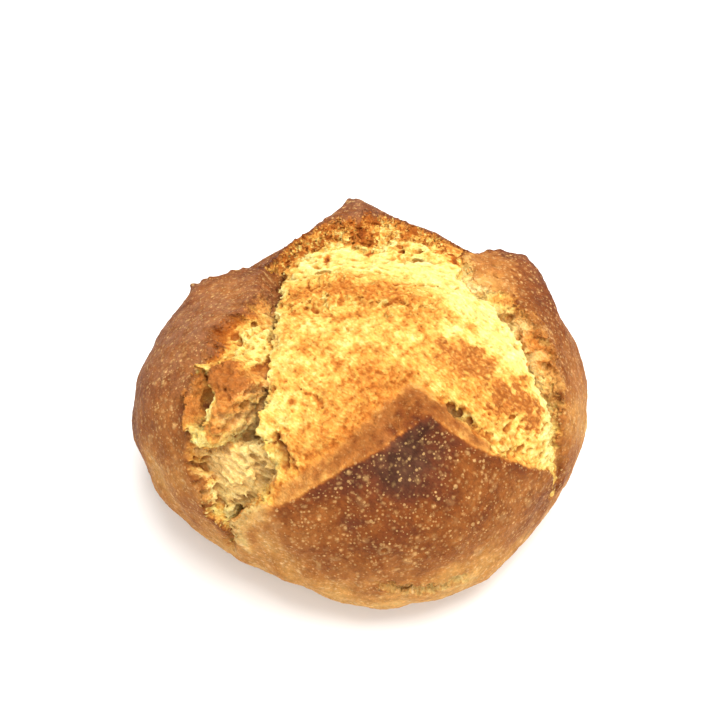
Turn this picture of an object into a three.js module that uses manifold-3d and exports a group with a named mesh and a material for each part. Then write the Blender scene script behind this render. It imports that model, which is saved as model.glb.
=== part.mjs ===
// A round, cross-scored sourdough loaf, baked as one piece.
// Millimetres, +Z up, standing on z = 0, the widest outline centred on the origin, its front towards -Y.
//
// The loaf is one closed surface around a centre point on its axis. Every direction from that
// point has one distance to the surface:
//   1. a smooth envelope: the swollen round that the dough reached, from a table of radii;
//   2. local swells and sinks of that envelope (the lifted tips of the flaps, the notches between them);
//   3. the burst: regions that sank or rose when the crust tore open along the cross;
//   4. strokes: ridges (crest of a flap, curled lip) and grooves (crevices, seams) along polylines.
// Places on the loaf are given on a polar map seen from above: the point at angle t from the
// vertical and azimuth a lies at 200 tan(t/2) (cos a, sin a). One map unit is 0.6 to 0.7 mm of
// crust. The map keeps shapes, so a width on it is a width on the loaf.
import * as THREE from "three";
import { mergeVertices } from "three/addons/utils/BufferGeometryUtils.js";
import Module from "manifold-3d";

// ---- driving dimensions (mm) ----
const LOAF_WIDTH = 242; // across X, the widest line of the belly
const LOAF_DEPTH = 225; // across Y
const CENTRE_HEIGHT = 48; // height of the centre point, about the widest line
const BASE_PUSH = 3; // how far the sole is pushed below z = 0 before it is cut flat
const BURST_SINK = 1.6; // the burst lies this much below the crust around it
const BURST_EDGE = 4; // map units over which it drops
const GRID_DETAIL = 21; // subdivision of the grid: 20 (n + 1)^2 triangles before the sole is cut
const GRID_LIFT = 0.42; // crowds the grid towards the torn top

// ---- 1. the envelope: radii at 140 even directions, top to bottom (mm) ----
const ENVELOPE = [
  68.7, 69.4, 72.8, 70.3, 72.6, 74.2, 72.8, 77.6, 74.8, 74.5, 81.1, 78.0, 81.9, 79.3,
  79.2, 87.2, 81.9, 83.3, 86.8, 86.7, 89.8, 85.9, 84.5, 95.2, 91.3, 96.8, 92.5, 94.3,
  97.8, 93.7, 91.0, 102.0, 101.4, 100.5, 99.0, 97.9, 110.3, 101.6, 100.6, 106.6, 109.2, 105.3,
  103.8, 98.8, 114.0, 109.6, 110.3, 109.3, 111.9, 115.3, 106.8, 103.8, 116.0, 116.9, 111.3, 110.5,
  108.7, 119.4, 109.6, 109.6, 113.8, 119.8, 114.4, 108.8, 108.3, 120.7, 115.2, 112.5, 113.5, 117.1,
  118.9, 107.0, 110.5, 116.5, 121.3, 115.3, 113.6, 114.0, 121.2, 109.5, 112.7, 115.8, 120.1, 116.9,
  110.3, 112.1, 119.5, 115.9, 113.3, 115.4, 116.0, 116.0, 105.4, 110.6, 111.6, 115.0, 110.1, 107.8,
  107.5, 109.2, 102.2, 103.0, 101.9, 99.8, 97.3, 89.6, 90.4, 90.1, 85.8, 85.0, 81.1, 81.7,
  79.2, 73.6, 76.3, 72.3, 73.1, 71.0, 67.9, 68.5, 66.5, 64.1, 64.6, 63.4, 61.4, 60.8,
  59.4, 57.8, 58.1, 57.2, 55.1, 55.6, 54.1, 53.3, 52.6, 51.6, 50.5, 50.0, 49.5, 48.6,
];

// ---- 2. swells and sinks of the envelope: [u, v, spread, height mm] ----
const SWELLS = [
  [-2, 107, 12, 7.5], // tip of the back flap
  [-116, 50, 11, 6.5], // tip of the left flap
  [104, 57, 13, 7.5], // tip of the right flap
  [36, -86, 14, 3], // tip of the front flap
  [-78, 98, 22, -5], // notch between back and left
  [84, 88, 22, -4], // notch between back and right
  [-160, 12, 22, -2],
  [135, 40, 18, -2],
  [10, -30, 45, 2.5], // the middle of the burst domes up
  [-78, -66, 14, 4], // the torn chunk on the left stands proud
];

// ---- 3a. the edge of the whole crust: everything inside is burst ----
const CRUST_EDGE = [
  [-60, -131], [-50, -132], [-38, -129], [-30, -125], [-20, -120], [-10, -115], [0, -110], [10, -105],
  [22, -97], [30, -90], [37, -82], [44, -87], [50, -90], [60, -95], [70, -98], [85, -100],
  [100, -101], [120, -100], [130, -99], [139, -104], [147, -112], [158, -118], [170, -122], [160, -108],
  [150, -96], [142, -84], [134, -72], [131, -60], [130, -52], [124, -45], [121, -35], [120, -25],
  [117, -17], [112, -10], [108, -3], [105, 3], [100, 10], [95, 15], [89, 20], [80, 18],
  [75, 20], [72, 28], [73, 35], [72, 45], [73, 55], [79, 63], [90, 76], [82, 76],
  [72, 72], [60, 76], [45, 79], [35, 83], [20, 83], [12, 84], [5, 84], [-5, 88],
  [-12, 90], [-18, 88], [-25, 91], [-35, 85], [-45, 80], [-55, 74], [-66, 72], [-80, 80],
  [-92, 88], [-82, 74], [-71, 62], [-68, 50], [-71, 40], [-70, 32], [-74, 20], [-72, 10],
  [-73, 3], [-78, -1], [-84, -3], [-89, -8], [-88, -18], [-88, -30], [-92, -33], [-99, -33],
  [-101, -40], [-102, -52], [-104, -62], [-103, -72], [-101, -80], [-105, -90], [-111, -95], [-112, -100],
  [-110, -110], [-111, -125], [-115, -131], [-122, -135], [-119, -141], [-114, -148], [-116, -155], [-114, -163],
  [-122, -172], [-140, -190], [-125, -180], [-108, -166], [-100, -158], [-97, -153], [-92, -147], [-84, -141],
  [-76, -135], [-66, -133],
];

// ---- 3b. regions: [depth mm (down is positive), soft edge in map units, outline] ----
const REGIONS = [
  // stretched crumb laid bare low on the left, between the left and front flaps
  [6.5, 5, [[-108, -100], [-98, -92], [-80, -95], [-64, -92], [-55, -97], [-54, -112], [-62, -128], [-76, -131], [-90, -141], [-110, -140], [-116, -131], [-107, -122]]],
  // the hollow behind the chunk, under the lip of the left flap
  [5, 4, [[-85, -8], [-74, -2], [-64, -16], [-60, -34], [-62, -50], [-74, -40], [-84, -34]]],
  // the open pocket in the chunk
  [6, 3, [[-98, -42], [-88, -46], [-82, -56], [-80, -70], [-86, -82], [-94, -80], [-99, -70], [-99, -55]]],
  // strip of torn crumb between the burst and the right flap
  [3.5, 5, [[72, 30], [80, 14], [92, 12], [102, 2], [112, -16], [117, -34], [126, -52], [128, -66], [118, -58], [106, -44], [98, -32], [90, -16], [82, 2], [72, 18]]],
  // slope between the burst and the back flap
  [2, 8, [[-50, 34], [-20, 32], [15, 27], [40, 14], [62, 8], [66, 40], [45, 50], [10, 58], [-30, 60], [-54, 52]]],
];

// ---- 4. strokes: [height mm, half-width, points]; ridges are positive, grooves negative.
//      A third number on a point is the share of the height there (1 when left out). ----
const STROKES = [
  // crest of the front flap, sharpest at the scorched tip
  [3.2, 9, [[10, -104], [22, -97], [30, -90], [37, -83], [44, -87], [52, -91], [62, -95]]],
  [1.8, 8, [[-62, -134], [-40, -132], [-20, -122], [0, -112], [10, -106]]],
  [1.5, 8, [[62, -96], [85, -101], [110, -102], [132, -101]]],
  // foot of the smooth band above the crest, where the burst begins
  [-2.6, 6, [[-30, -104], [-12, -93], [4, -77], [18, -66], [28, -61], [38, -64], [50, -73]]],
  [-3.4, 4, [[50, -74], [58, -80], [66, -85], [73, -91], [84, -96], [98, -96]]],
  // curled lip of the left flap
  [2.6, 5, [[-75, 62], [-73, 50], [-75, 38], [-75, 28], [-79, 18], [-78, 8], [-83, 3], [-92, -3], [-94, -16], [-94, -28]]],
  // crevice under it
  [-9, 5, [[-67, 58], [-65, 45], [-67, 30], [-66, 15], [-66, 0], [-64, -14], [-62, -26]]],
  // crevice below the chunk
  [-9, 6, [[-61, -60], [-64, -72], [-69, -82], [-78, -91]]],
  // rims of the pocket in the chunk
  [2.5, 4, [[-103, -50], [-105, -62], [-103, -74], [-98, -84], [-88, -91], [-79, -87]]],
  [3.5, 6, [[-86, -40], [-76, -48], [-68, -58], [-72, -70], [-80, -78]]],
  // deep hole where the left tear runs under the front flap, and the tear on down the side
  [-12, 7, [[-94, -150], [-104, -149], [-108, -156]]],
  [-5, 6, [[-108, -160], [-122, -174, 0.7], [-140, -192, 0]]],
  // raised free edge of the front flap
  [2.2, 5, [[-62, -137, 0.6], [-78, -141], [-90, -151], [-97, -161], [-112, -177, 0.6], [-130, -195, 0]]],
  // lip of the right flap and the crevices under it
  [2.4, 6, [[78, 58], [78, 42], [80, 28], [96, 22], [108, 10], [117, -4], [126, -20], [130, -38], [136, -56]]],
  [-5, 5, [[71, 40], [72, 26], [80, 12], [90, -2], [99, -14], [104, -30], [112, -42], [120, -52], [126, -62]]],
  [-6, 4, [[126, -58], [127, -64]]],
  // torn rim of the back flap and the break under it
  [2.4, 6, [[-62, 76], [-45, 84], [-25, 93], [-8, 94], [8, 88], [24, 87], [44, 83], [62, 80]]],
  [-4, 6, [[-55, 66], [-30, 70], [-10, 70], [2, 66], [18, 68], [40, 70], [60, 66]]],
  [-3.5, 4, [[30, 48], [42, 47], [50, 44]]],
  // the four tears run on down the sides between the flaps
  [-5, 9, [[-72, 68], [-86, 84, 0.8], [-104, 102, 0.45], [-124, 120, 0]]],
  [-5, 9, [[76, 64], [88, 80, 0.8], [104, 96, 0.45], [124, 116, 0]]],
  [-4, 9, [[134, -78], [150, -92, 0.8], [168, -108, 0.4], [190, -124, 0]]],
  // upper edge of the burst plate
  [1.4, 5, [[-52, 26], [-30, 27], [-10, 21], [12, 18], [30, 8], [48, -2]]],
  [-1.6, 5, [[-54, 36], [-30, 37], [-8, 31], [16, 28], [38, 16], [56, 4]]],
  // split seam low on the front
  [-2, 4, [[16, -208], [32, -214], [48, -212], [60, -216], [68, -208], [80, -203], [96, -202]]],
];

// ---- the map ----
const toMap = (d) => {
  const k = 200 / (1 + d.z); // 200 tan(t/2) / sin(t)
  return [d.x * k, d.y * k];
};

// distance to a segment, and the share of the height at the nearest point on it
function segment(u, v, a, b) {
  const du = b[0] - a[0], dv = b[1] - a[1];
  const t = Math.min(1, Math.max(0, ((u - a[0]) * du + (v - a[1]) * dv) / (du * du + dv * dv)));
  return [Math.hypot(u - a[0] - du * t, v - a[1] - dv * t), (a[2] ?? 1) * (1 - t) + (b[2] ?? 1) * t];
}
function nearest(u, v, pts, closed) {
  let best = [Infinity, 0];
  const last = closed ? pts.length : pts.length - 1;
  for (let i = 0; i < last; i++) {
    const s = segment(u, v, pts[i], pts[(i + 1) % pts.length]);
    if (s[0] < best[0]) best = s;
  }
  return best;
}
function inside(u, v, pts) {
  let odd = false;
  for (let i = 0, j = pts.length - 1; i < pts.length; j = i++) {
    const [a, b] = pts[i], [c, d] = pts[j];
    if (b > v !== d > v && u < ((c - a) * (v - b)) / (d - b) + a) odd = !odd;
  }
  return odd;
}
// 0 outside, 1 inside, easing over `soft` inwards of the outline
function regionWeight(u, v, pts, soft) {
  if (!inside(u, v, pts)) return 0;
  const t = Math.min(1, nearest(u, v, pts, true)[0] / soft);
  return t * t * (3 - 2 * t);
}

// ---- the smooth envelope: a cubic radial-basis surface through the table ----
const sites = ENVELOPE.map((_, i) => {
  const z = 1 - (2 * (i + 0.5)) / ENVELOPE.length, p = Math.PI * (1 + Math.sqrt(5)) * (i + 0.5);
  const s = Math.sqrt(1 - z * z);
  return new THREE.Vector3(s * Math.cos(p), s * Math.sin(p), z);
});
const weights = (() => {
  const n = sites.length, m = n + 4;
  const A = Array.from({ length: m }, () => new Float64Array(m + 1));
  for (let i = 0; i < n; i++) {
    for (let j = 0; j < n; j++) A[i][j] = sites[i].distanceTo(sites[j]) ** 3;
    const row = [1, sites[i].x, sites[i].y, sites[i].z];
    row.forEach((x, k) => { A[i][n + k] = x; A[n + k][i] = x; });
    A[i][m] = ENVELOPE[i];
  }
  for (let c = 0; c < m; c++) {
    let p = c;
    for (let r = c + 1; r < m; r++) if (Math.abs(A[r][c]) > Math.abs(A[p][c])) p = r;
    [A[c], A[p]] = [A[p], A[c]];
    for (let r = c + 1; r < m; r++) {
      const f = A[r][c] / A[c][c];
      if (f) for (let k = c; k <= m; k++) A[r][k] -= f * A[c][k];
    }
  }
  const w = new Float64Array(m);
  for (let r = m - 1; r >= 0; r--) {
    let s = A[r][m];
    for (let k = r + 1; k < m; k++) s -= A[r][k] * w[k];
    w[r] = s / A[r][r];
  }
  return w;
})();
function envelope(d) {
  const n = sites.length;
  let r = weights[n] + weights[n + 1] * d.x + weights[n + 2] * d.y + weights[n + 3] * d.z;
  for (let i = 0; i < n; i++) r += weights[i] * d.distanceTo(sites[i]) ** 3;
  return r;
}

// ---- relief on the envelope (mm outwards) ----
function relief(u, v) {
  let h = 0;
  for (const [a, b, s, k] of SWELLS) h += k * Math.exp(-((u - a) ** 2 + (v - b) ** 2) / (s * s));
  const open = regionWeight(u, v, CRUST_EDGE, BURST_EDGE);
  h -= BURST_SINK * open;
  for (const [depth, soft, pts] of REGIONS) h -= depth * regionWeight(u, v, pts, soft);
  for (const [k, w, pts] of STROKES) {
    const [away, share] = nearest(u, v, pts, false), d = away / w;
    if (d < 3) h += k * share * Math.exp(-d * d);
  }
  return h;
}

// ---- the surface ----
const grid = new THREE.IcosahedronGeometry(1, GRID_DETAIL);
const pos = grid.getAttribute("position");
const index = new Map(), verts = [], tris = [];
for (let i = 0; i < pos.count; i++) {
  const key = [pos.getX(i), pos.getY(i), pos.getZ(i)].map((x) => Math.round(x * 1e5)).join();
  if (!index.has(key)) {
    index.set(key, verts.length / 3);
    const d = new THREE.Vector3(pos.getX(i), pos.getY(i), pos.getZ(i)).normalize();
    const t = Math.acos(THREE.MathUtils.clamp(d.z, -1, 1)), a = Math.atan2(d.y, d.x);
    const tt = t - GRID_LIFT * Math.sin(t);
    d.set(Math.sin(tt) * Math.cos(a), Math.sin(tt) * Math.sin(a), Math.cos(tt));
    let r = envelope(d);
    if (d.z > -0.6) {
      const [u, v] = toMap(d);
      r += relief(u, v);
    }
    let z = CENTRE_HEIGHT + d.z * r;
    if (z < 2) z = 2 - (2 - z) * BASE_PUSH;
    verts.push(d.x * r, d.y * r, z);
  }
  tris.push(index.get(key));
}

// centre the outline and bring it to the driving width and depth
const lo = [Infinity, Infinity], hi = [-Infinity, -Infinity];
for (let i = 0; i < verts.length; i += 3)
  for (let k = 0; k < 2; k++) {
    lo[k] = Math.min(lo[k], verts[i + k]);
    hi[k] = Math.max(hi[k], verts[i + k]);
  }
const size = [LOAF_WIDTH, LOAF_DEPTH];
for (let i = 0; i < verts.length; i += 3)
  for (let k = 0; k < 2; k++)
    verts[i + k] = ((verts[i + k] - (lo[k] + hi[k]) / 2) * size[k]) / (hi[k] - lo[k]);

// ---- cut the sole flat ----
const wasm = await Module();
wasm.setup();
const loafSolid = new wasm.Manifold(
  new wasm.Mesh({ numProp: 3, vertProperties: new Float32Array(verts), triVerts: new Uint32Array(tris) }),
);
const box = new THREE.BoxGeometry(600, 600, 300).translate(0, 0, 150);
box.deleteAttribute("normal");
box.deleteAttribute("uv");
const block = mergeVertices(box, 1e-3);
const above = new wasm.Manifold(
  new wasm.Mesh({
    numProp: 3,
    vertProperties: Float32Array.from(block.attributes.position.array),
    triVerts: Uint32Array.from(block.index.array),
  }),
);
const cut = loafSolid.intersect(above).getMesh();
const geometry = new THREE.BufferGeometry();
geometry.setAttribute("position", new THREE.BufferAttribute(Float32Array.from(cut.vertProperties), 3));
geometry.setIndex(new THREE.BufferAttribute(Uint32Array.from(cut.triVerts), 1));

const group = new THREE.Group();
const crust = new THREE.MeshStandardMaterial({ color: 0xb06a34, roughness: 0.75, metalness: 0 });
const loaf = new THREE.Mesh(geometry, crust);
loaf.name = "loaf";
group.add(loaf);
export default group;
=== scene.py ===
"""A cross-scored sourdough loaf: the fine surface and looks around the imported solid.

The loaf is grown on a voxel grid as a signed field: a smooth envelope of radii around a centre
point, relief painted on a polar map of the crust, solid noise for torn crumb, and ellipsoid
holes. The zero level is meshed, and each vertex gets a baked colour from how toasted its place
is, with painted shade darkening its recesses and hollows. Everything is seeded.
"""
import math

import bpy
import numpy as np
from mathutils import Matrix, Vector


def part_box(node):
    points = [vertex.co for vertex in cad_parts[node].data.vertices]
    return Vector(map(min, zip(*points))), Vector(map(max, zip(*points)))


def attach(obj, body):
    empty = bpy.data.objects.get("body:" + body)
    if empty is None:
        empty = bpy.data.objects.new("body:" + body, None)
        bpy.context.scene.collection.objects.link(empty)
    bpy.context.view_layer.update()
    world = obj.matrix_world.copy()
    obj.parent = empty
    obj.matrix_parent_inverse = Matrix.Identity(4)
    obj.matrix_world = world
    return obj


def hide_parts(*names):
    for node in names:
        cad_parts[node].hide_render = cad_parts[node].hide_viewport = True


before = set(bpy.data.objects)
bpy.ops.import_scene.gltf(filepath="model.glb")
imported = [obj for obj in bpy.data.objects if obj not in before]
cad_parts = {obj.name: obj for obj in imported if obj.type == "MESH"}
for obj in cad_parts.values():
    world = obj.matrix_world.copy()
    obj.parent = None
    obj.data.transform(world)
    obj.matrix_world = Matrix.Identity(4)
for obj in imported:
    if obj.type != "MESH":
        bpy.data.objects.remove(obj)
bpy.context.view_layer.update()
cad_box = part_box("loaf")

VOXEL = 0.75  # mm
CENTRE = 48.0  # height of the centre point, mm
REACH = 330.0  # map units from the middle of the map to its edge
STEP = 0.5  # map units a cell
N = int(2 * REACH / STEP) + 1
rng = np.random.default_rng(7)

# ------------------------------------------------------------------ envelope
ENVELOPE = [
    68.7, 69.4, 72.8, 70.3, 72.6, 74.2, 72.8, 77.6, 74.8, 74.5, 81.1, 78.0, 81.9, 79.3,
    79.2, 87.2, 81.9, 83.3, 86.8, 86.7, 89.8, 85.9, 84.5, 95.2, 91.3, 96.8, 92.5, 94.3,
    97.8, 93.7, 91.0, 102.0, 101.4, 100.5, 99.0, 97.9, 110.3, 101.6, 100.6, 106.6, 109.2, 105.3,
    103.8, 98.8, 114.0, 109.6, 110.3, 109.3, 111.9, 115.3, 106.8, 103.8, 116.0, 116.9, 111.3, 110.5,
    108.7, 119.4, 109.6, 109.6, 113.8, 119.8, 114.4, 108.8, 108.3, 120.7, 115.2, 112.5, 113.5, 117.1,
    118.9, 107.0, 110.5, 116.5, 121.3, 115.3, 113.6, 114.0, 121.2, 109.5, 112.7, 115.8, 120.1, 116.9,
    110.3, 112.1, 119.5, 115.9, 113.3, 115.4, 116.0, 116.0, 105.4, 110.6, 111.6, 115.0, 110.1, 107.8,
    107.5, 109.2, 102.2, 103.0, 101.9, 99.8, 97.3, 89.6, 90.4, 90.1, 85.8, 85.0, 81.1, 81.7,
    79.2, 73.6, 76.3, 72.3, 73.1, 71.0, 67.9, 68.5, 66.5, 64.1, 64.6, 63.4, 61.4, 60.8,
    59.4, 57.8, 58.1, 57.2, 55.1, 55.6, 54.1, 53.3, 52.6, 51.6, 50.5, 50.0, 49.5, 48.6,
]


def even_directions(n):
    i = np.arange(n) + 0.5
    z = 1 - 2 * i / n
    p = math.pi * (1 + math.sqrt(5)) * i
    s = np.sqrt(1 - z * z)
    return np.stack([s * np.cos(p), s * np.sin(p), z], -1)


def make_envelope():
    """A table of the envelope's radius by angle from the vertical and azimuth, one degree a cell."""
    sites = even_directions(len(ENVELOPE))
    n = len(sites)
    a = np.zeros((n + 4, n + 4))
    a[:n, :n] = np.linalg.norm(sites[:, None] - sites[None], axis=-1) ** 3
    a[:n, n] = 1
    a[:n, n + 1 :] = sites
    a[n:, :n] = a[:n, n:].T
    w = np.linalg.solve(a, np.concatenate([ENVELOPE, np.zeros(4)]))
    t, az = np.meshgrid(np.radians(np.arange(181)), np.radians(np.arange(-180, 182)), indexing="ij")
    d = np.stack([np.sin(t) * np.cos(az), np.sin(t) * np.sin(az), np.cos(t)], -1).reshape(-1, 3)
    k = np.linalg.norm(d[:, None] - sites[None], axis=-1) ** 3
    return (k @ w[:n] + w[n] + d @ w[n + 1 :]).reshape(t.shape).astype(np.float32)


ENV = make_envelope()


def envelope(d):
    """The envelope's radius in the directions d."""
    t = np.degrees(np.arccos(np.clip(d[2], -1, 1)))
    a = np.degrees(np.arctan2(d[1], d[0])) + 180
    i = np.minimum(t.astype(np.int32), 179)
    j = np.minimum(a.astype(np.int32), 360)
    ft, fa = t - i, a - j
    return (
        ENV[i, j] * (1 - ft) * (1 - fa)
        + ENV[i + 1, j] * ft * (1 - fa)
        + ENV[i, j + 1] * (1 - ft) * fa
        + ENV[i + 1, j + 1] * ft * fa
    )


# ------------------------------------------------------------------ the map
axis = (np.arange(N) - N // 2) * STEP
MU, MV = np.meshgrid(axis, axis)  # MU along columns, MV along rows
MU = MU.astype(np.float32)
MV = MV.astype(np.float32)


def smooth(x, a, b):
    t = np.clip((x - a) / (b - a), 0, 1)
    return t * t * (3 - 2 * t)


def noise2(wavelength, seed, slope=2.0, octaves=4.0):
    """Smooth noise over the map, mean 0 and spread 1, with its largest features about `wavelength` map units."""
    r = np.random.default_rng(seed)
    n = 1536
    spec = np.fft.rfft2(r.standard_normal((n, n)).astype(np.float32))
    f = np.hypot(np.fft.fftfreq(n, STEP)[:, None], np.fft.rfftfreq(n, STEP)[None])
    lo, hi = 1 / wavelength, octaves / wavelength
    gain = np.where(f > 0, (np.maximum(f, lo) / lo) ** -slope, 0) * np.exp(-((f / hi) ** 2)) * (1 - np.exp(-((f / lo) ** 2)))
    out = np.fft.irfft2(spec * gain)[:N, :N]
    return (out / out.std()).astype(np.float32)


def window(pts, reach):
    p = np.array([q[:2] for q in pts], float)
    lo = np.clip(((p.min(0) - reach) / STEP + N // 2).astype(int), 0, N - 1)
    hi = np.clip(((p.max(0) + reach) / STEP + N // 2).astype(int) + 2, 1, N)
    return slice(lo[1], hi[1]), slice(lo[0], hi[0])


def round_off(pts, closed=False, cuts=2):
    """Chaikin's corner cutting on rows of numbers."""
    p = np.asarray(pts, float)
    for _ in range(cuts):
        q = np.roll(p, -1, 0)
        a, b = 0.75 * p + 0.25 * q, 0.25 * p + 0.75 * q
        r = np.stack([a, b], 1).reshape(-1, p.shape[1])
        p = r if closed else np.concatenate([p[:1], r[:-2], p[-1:]])
    return p


def nearest(u, v, pts, closed=False):
    """Distance to a polyline, and the rows' further numbers at the nearest point."""
    p = np.asarray(pts, np.float32)
    q = np.roll(p, -1, 0)
    last = len(p) if closed else len(p) - 1
    best = np.full(u.shape, 1e9, np.float32)
    extra = [np.zeros(u.shape, np.float32) for _ in range(p.shape[1] - 2)]
    for a, b in zip(p[:last], q[:last]):
        du, dv = b[0] - a[0], b[1] - a[1]
        t = np.clip(((u - a[0]) * du + (v - a[1]) * dv) / max(du * du + dv * dv, 1e-6), 0, 1)
        d = (u - a[0] - du * t) ** 2 + (v - a[1] - dv * t) ** 2
        m = d < best
        best = np.where(m, d, best)
        for k in range(len(extra)):
            extra[k] = np.where(m, a[2 + k] * (1 - t) + b[2 + k] * t, extra[k])
    return [np.sqrt(best)] + extra


def inside(u, v, pts):
    p = np.asarray(pts, np.float32)[:, :2]
    odd = np.zeros(u.shape, bool)
    for (a, b), (c, d) in zip(p, np.roll(p, 1, 0)):
        if b == d:
            continue
        cross = ((b > v) != (d > v)) & (u < (c - a) * (v - b) / (d - b) + a)
        odd ^= cross
    return odd


# Ragged copies of the map's coordinates: places on them wander, so that torn edges do.
ragged_u = noise2(26, 11, 1.4, 6) * 1.6 + noise2(7, 12, 1.0, 4) * 0.8
ragged_v = noise2(26, 13, 1.4, 6) * 1.6 + noise2(7, 14, 1.0, 4) * 0.8


def region(pts, soft=3.0, wander=1.0, cuts=2):
    """From 0 outside an outline to 1 inside it, easing over `soft` units inwards, and its window."""
    w = window(pts, 8)
    u, v = MU[w] + ragged_u[w] * wander, MV[w] + ragged_v[w] * wander
    p = round_off([q[:2] for q in pts], True, cuts)
    d = nearest(u, v, p, True)[0]
    s = np.where(inside(u, v, p), d, -d)
    return smooth(s, -0.3 * soft, 0.7 * soft), w


def stroke(pts, width, wander=1.0, cuts=2):
    """exp(-(d/width)^2) around a polyline, times the share given as each point's third number, and its window."""
    w = window(pts, width * 2.6 + 4)
    u, v = MU[w] + ragged_u[w] * wander, MV[w] + ragged_v[w] * wander
    p = round_off([tuple(q) + (1.0,) if len(q) == 2 else tuple(q) for q in pts], False, cuts)
    d, share = nearest(u, v, p)
    return share * np.exp(-((d / width) ** 2)), w


def blob(u, v, s):
    return np.exp(-((MU - u) ** 2 + (MV - v) ** 2) / (s * s))


# ------------------------------------------------------------------ where things are
# The crust's edge. Numbers three to five: height of its lip (mm), how far the burst drops just
# inside it (mm), and how far it leans over the tear.
EDGE = [
    (-60, -131, 0.4, 0.6, 0.2), (-50, -132, 0, 0, 0), (-38, -129, 0, 0, 0), (-30, -125, 0, 0, 0),
    (-20, -120, 0, 0, 0), (-10, -115, 0, 0, 0), (0, -110, 0, 0, 0), (10, -105, 0, 0, 0), (22, -97, 0, 0, 0),
    (30, -90, 0, 0, 0), (37, -82, 0, 0, 0), (44, -87, 0, 0, 0), (50, -90, 0, 0, 0), (60, -95, 0, 0, 0),
    (70, -98, 0, 0, 0), (85, -100, 0, 0.3, 0), (100, -101, 0, 0.6, 0), (120, -100, 0.2, 0.8, 0.1),
    (130, -99, 0.4, 1, 0.2), (139, -104, 0.8, 1.5, 0.2), (147, -112, 0.8, 1.2, 0.2), (158, -118, 0.5, 0.8, 0),
    (170, -122, 0, 0, 0), (160, -108, 0.5, 0.8, 0), (150, -96, 0.8, 1.2, 0.2), (142, -84, 1, 1.5, 0.3),
    (134, -72, 1.5, 2, 0.5), (131, -60, 2, 3, 0.8), (130, -52, 2.2, 3, 0.9), (124, -45, 2.2, 3, 0.9),
    (121, -35, 2.4, 2.5, 0.9), (120, -25, 2.4, 2.5, 0.9), (117, -17, 2.4, 2.5, 0.9), (112, -10, 2.4, 2.2, 0.9),
    (108, -3, 2.2, 2, 0.8), (105, 3, 2.2, 2, 0.8), (100, 10, 2.2, 2, 0.8), (95, 15, 2, 2, 0.7),
    (89, 20, 1.6, 1.5, 0.5), (80, 18, 1.2, 1.2, 0.5), (75, 20, 1.2, 1.5, 0.5), (72, 28, 1.5, 2.5, 0.6),
    (73, 35, 1.6, 2.5, 0.6), (72, 45, 1.6, 2.5, 0.6), (73, 55, 1.6, 2.2, 0.6), (79, 63, 1.2, 1.5, 0.3),
    (92, 82, 0, 0, 0), (84, 82, 0.8, 1, 0.3), (74, 82, 1.2, 1.5, 0.4), (60, 88, 1.6, 2.2, 0.35),
    (45, 94, 1.6, 2.2, 0.35), (34, 97, 1.6, 2.2, 0.35), (22, 97, 1.8, 2.5, 0.35), (14, 95, 2.2, 3, 0.4),
    (7, 89, 2.4, 3.2, 0.4), (0, 87, 2.0, 3, 0.35), (-6, 90, 1.8, 2.8, 0.35), (-14, 91, 1.8, 2.8, 0.35),
    (-24, 94, 1.8, 2.8, 0.35), (-35, 93, 1.8, 2.5, 0.35), (-46, 89, 1.8, 2.5, 0.35), (-56, 82, 1.8, 2.5, 0.35),
    (-66, 77, 1.2, 1.5, 0.4), (-80, 84, 0.5, 0.8, 0.2), (-92, 92, 0, 0, 0), (-82, 74, 0.5, 1, 0.2),
    (-67, 60, 1.5, 2.5, 0.4), (-64, 50, 2.2, 4, 0.5), (-66, 41, 2.4, 5, 0.5), (-69, 32, 2.4, 6, 0.5),
    (-73, 20, 2.8, 6, 0.4), (-77, 9, 2.8, 6, 0.3), (-80, 2, 3.0, 6.5, 0.3), (-85, -2, 3.2, 6.5, 0.3),
    (-90, -3, 3.0, 6.5, 0.3), (-95, -9, 3.0, 6.5, 0.3), (-95, -20, 2.8, 6.0, 0.3), (-93, -30, 2.2, 4.5, 0.3),
    (-92, -33, 1.5, 2, 0.6), (-99, -33, 1, 1, 0.3), (-101, -40, 1, 1, 0.2), (-102, -52, 1, 1.5, 0.2),
    (-104, -62, 0.8, 1.5, 0.2), (-103, -72, 0.8, 1.5, 0.2), (-101, -80, 0.8, 1.5, 0.2), (-105, -90, 0.8, 1.5, 0.2),
    (-111, -95, 0.8, 2, 0.2), (-112, -100, 1, 2.5, 0.2), (-110, -110, 1, 2.5, 0.2), (-111, -125, 1, 2.5, 0.2),
    (-115, -131, 1, 2.5, 0.2), (-122, -135, 1, 2.5, 0.2), (-119, -141, 1, 3.0, 0.3), (-114, -148, 1, 3.0, 0.3),
    (-116, -155, 1, 3, 0.5), (-114, -163, 0.8, 2.5, 0.4), (-122, -172, 0.6, 1.5, 0.3), (-140, -190, 0, 0, 0),
    (-125, -180, 0.8, 1.5, 0.3), (-108, -166, 1.6, 3.5, 0.8), (-100, -158, 2.2, 7, 1.3), (-97, -153, 2.4, 8, 1.4),
    (-92, -147, 2.4, 8, 1.4), (-84, -141, 2.4, 7, 1.3), (-76, -135, 2.2, 5.5, 1.1), (-66, -133, 1.2, 2.5, 0.6),
]

edge = round_off(EDGE, True, 1)
calm = 1 - 0.85 * np.exp(-(nearest(MU, MV, [(-62, -133), (-40, -131), (-20, -121), (0, -110), (22, -97), (37, -83), (50, -90), (70, -98), (100, -101), (130, -99)])[0] / 9) ** 2)
eu, ev = MU + ragged_u * calm, MV + ragged_v * calm
near = nearest(eu, ev, edge, True)
in_burst = inside(eu, ev, edge)
SIDE = np.where(in_burst, near[0], -near[0]).astype(np.float32)  # positive in the burst
LIP, DROP, LEAN = near[1], near[2], near[3]

relief = np.zeros((N, N), np.float32)
toast = np.zeros((N, N), np.float32)  # 0 pale crumb to 1 scorched
raw = np.zeros((N, N), np.float32)  # 1 where stretched inner crumb lies bare
rough = np.zeros((N, N), np.float32)  # mm of torn-crumb noise

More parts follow.
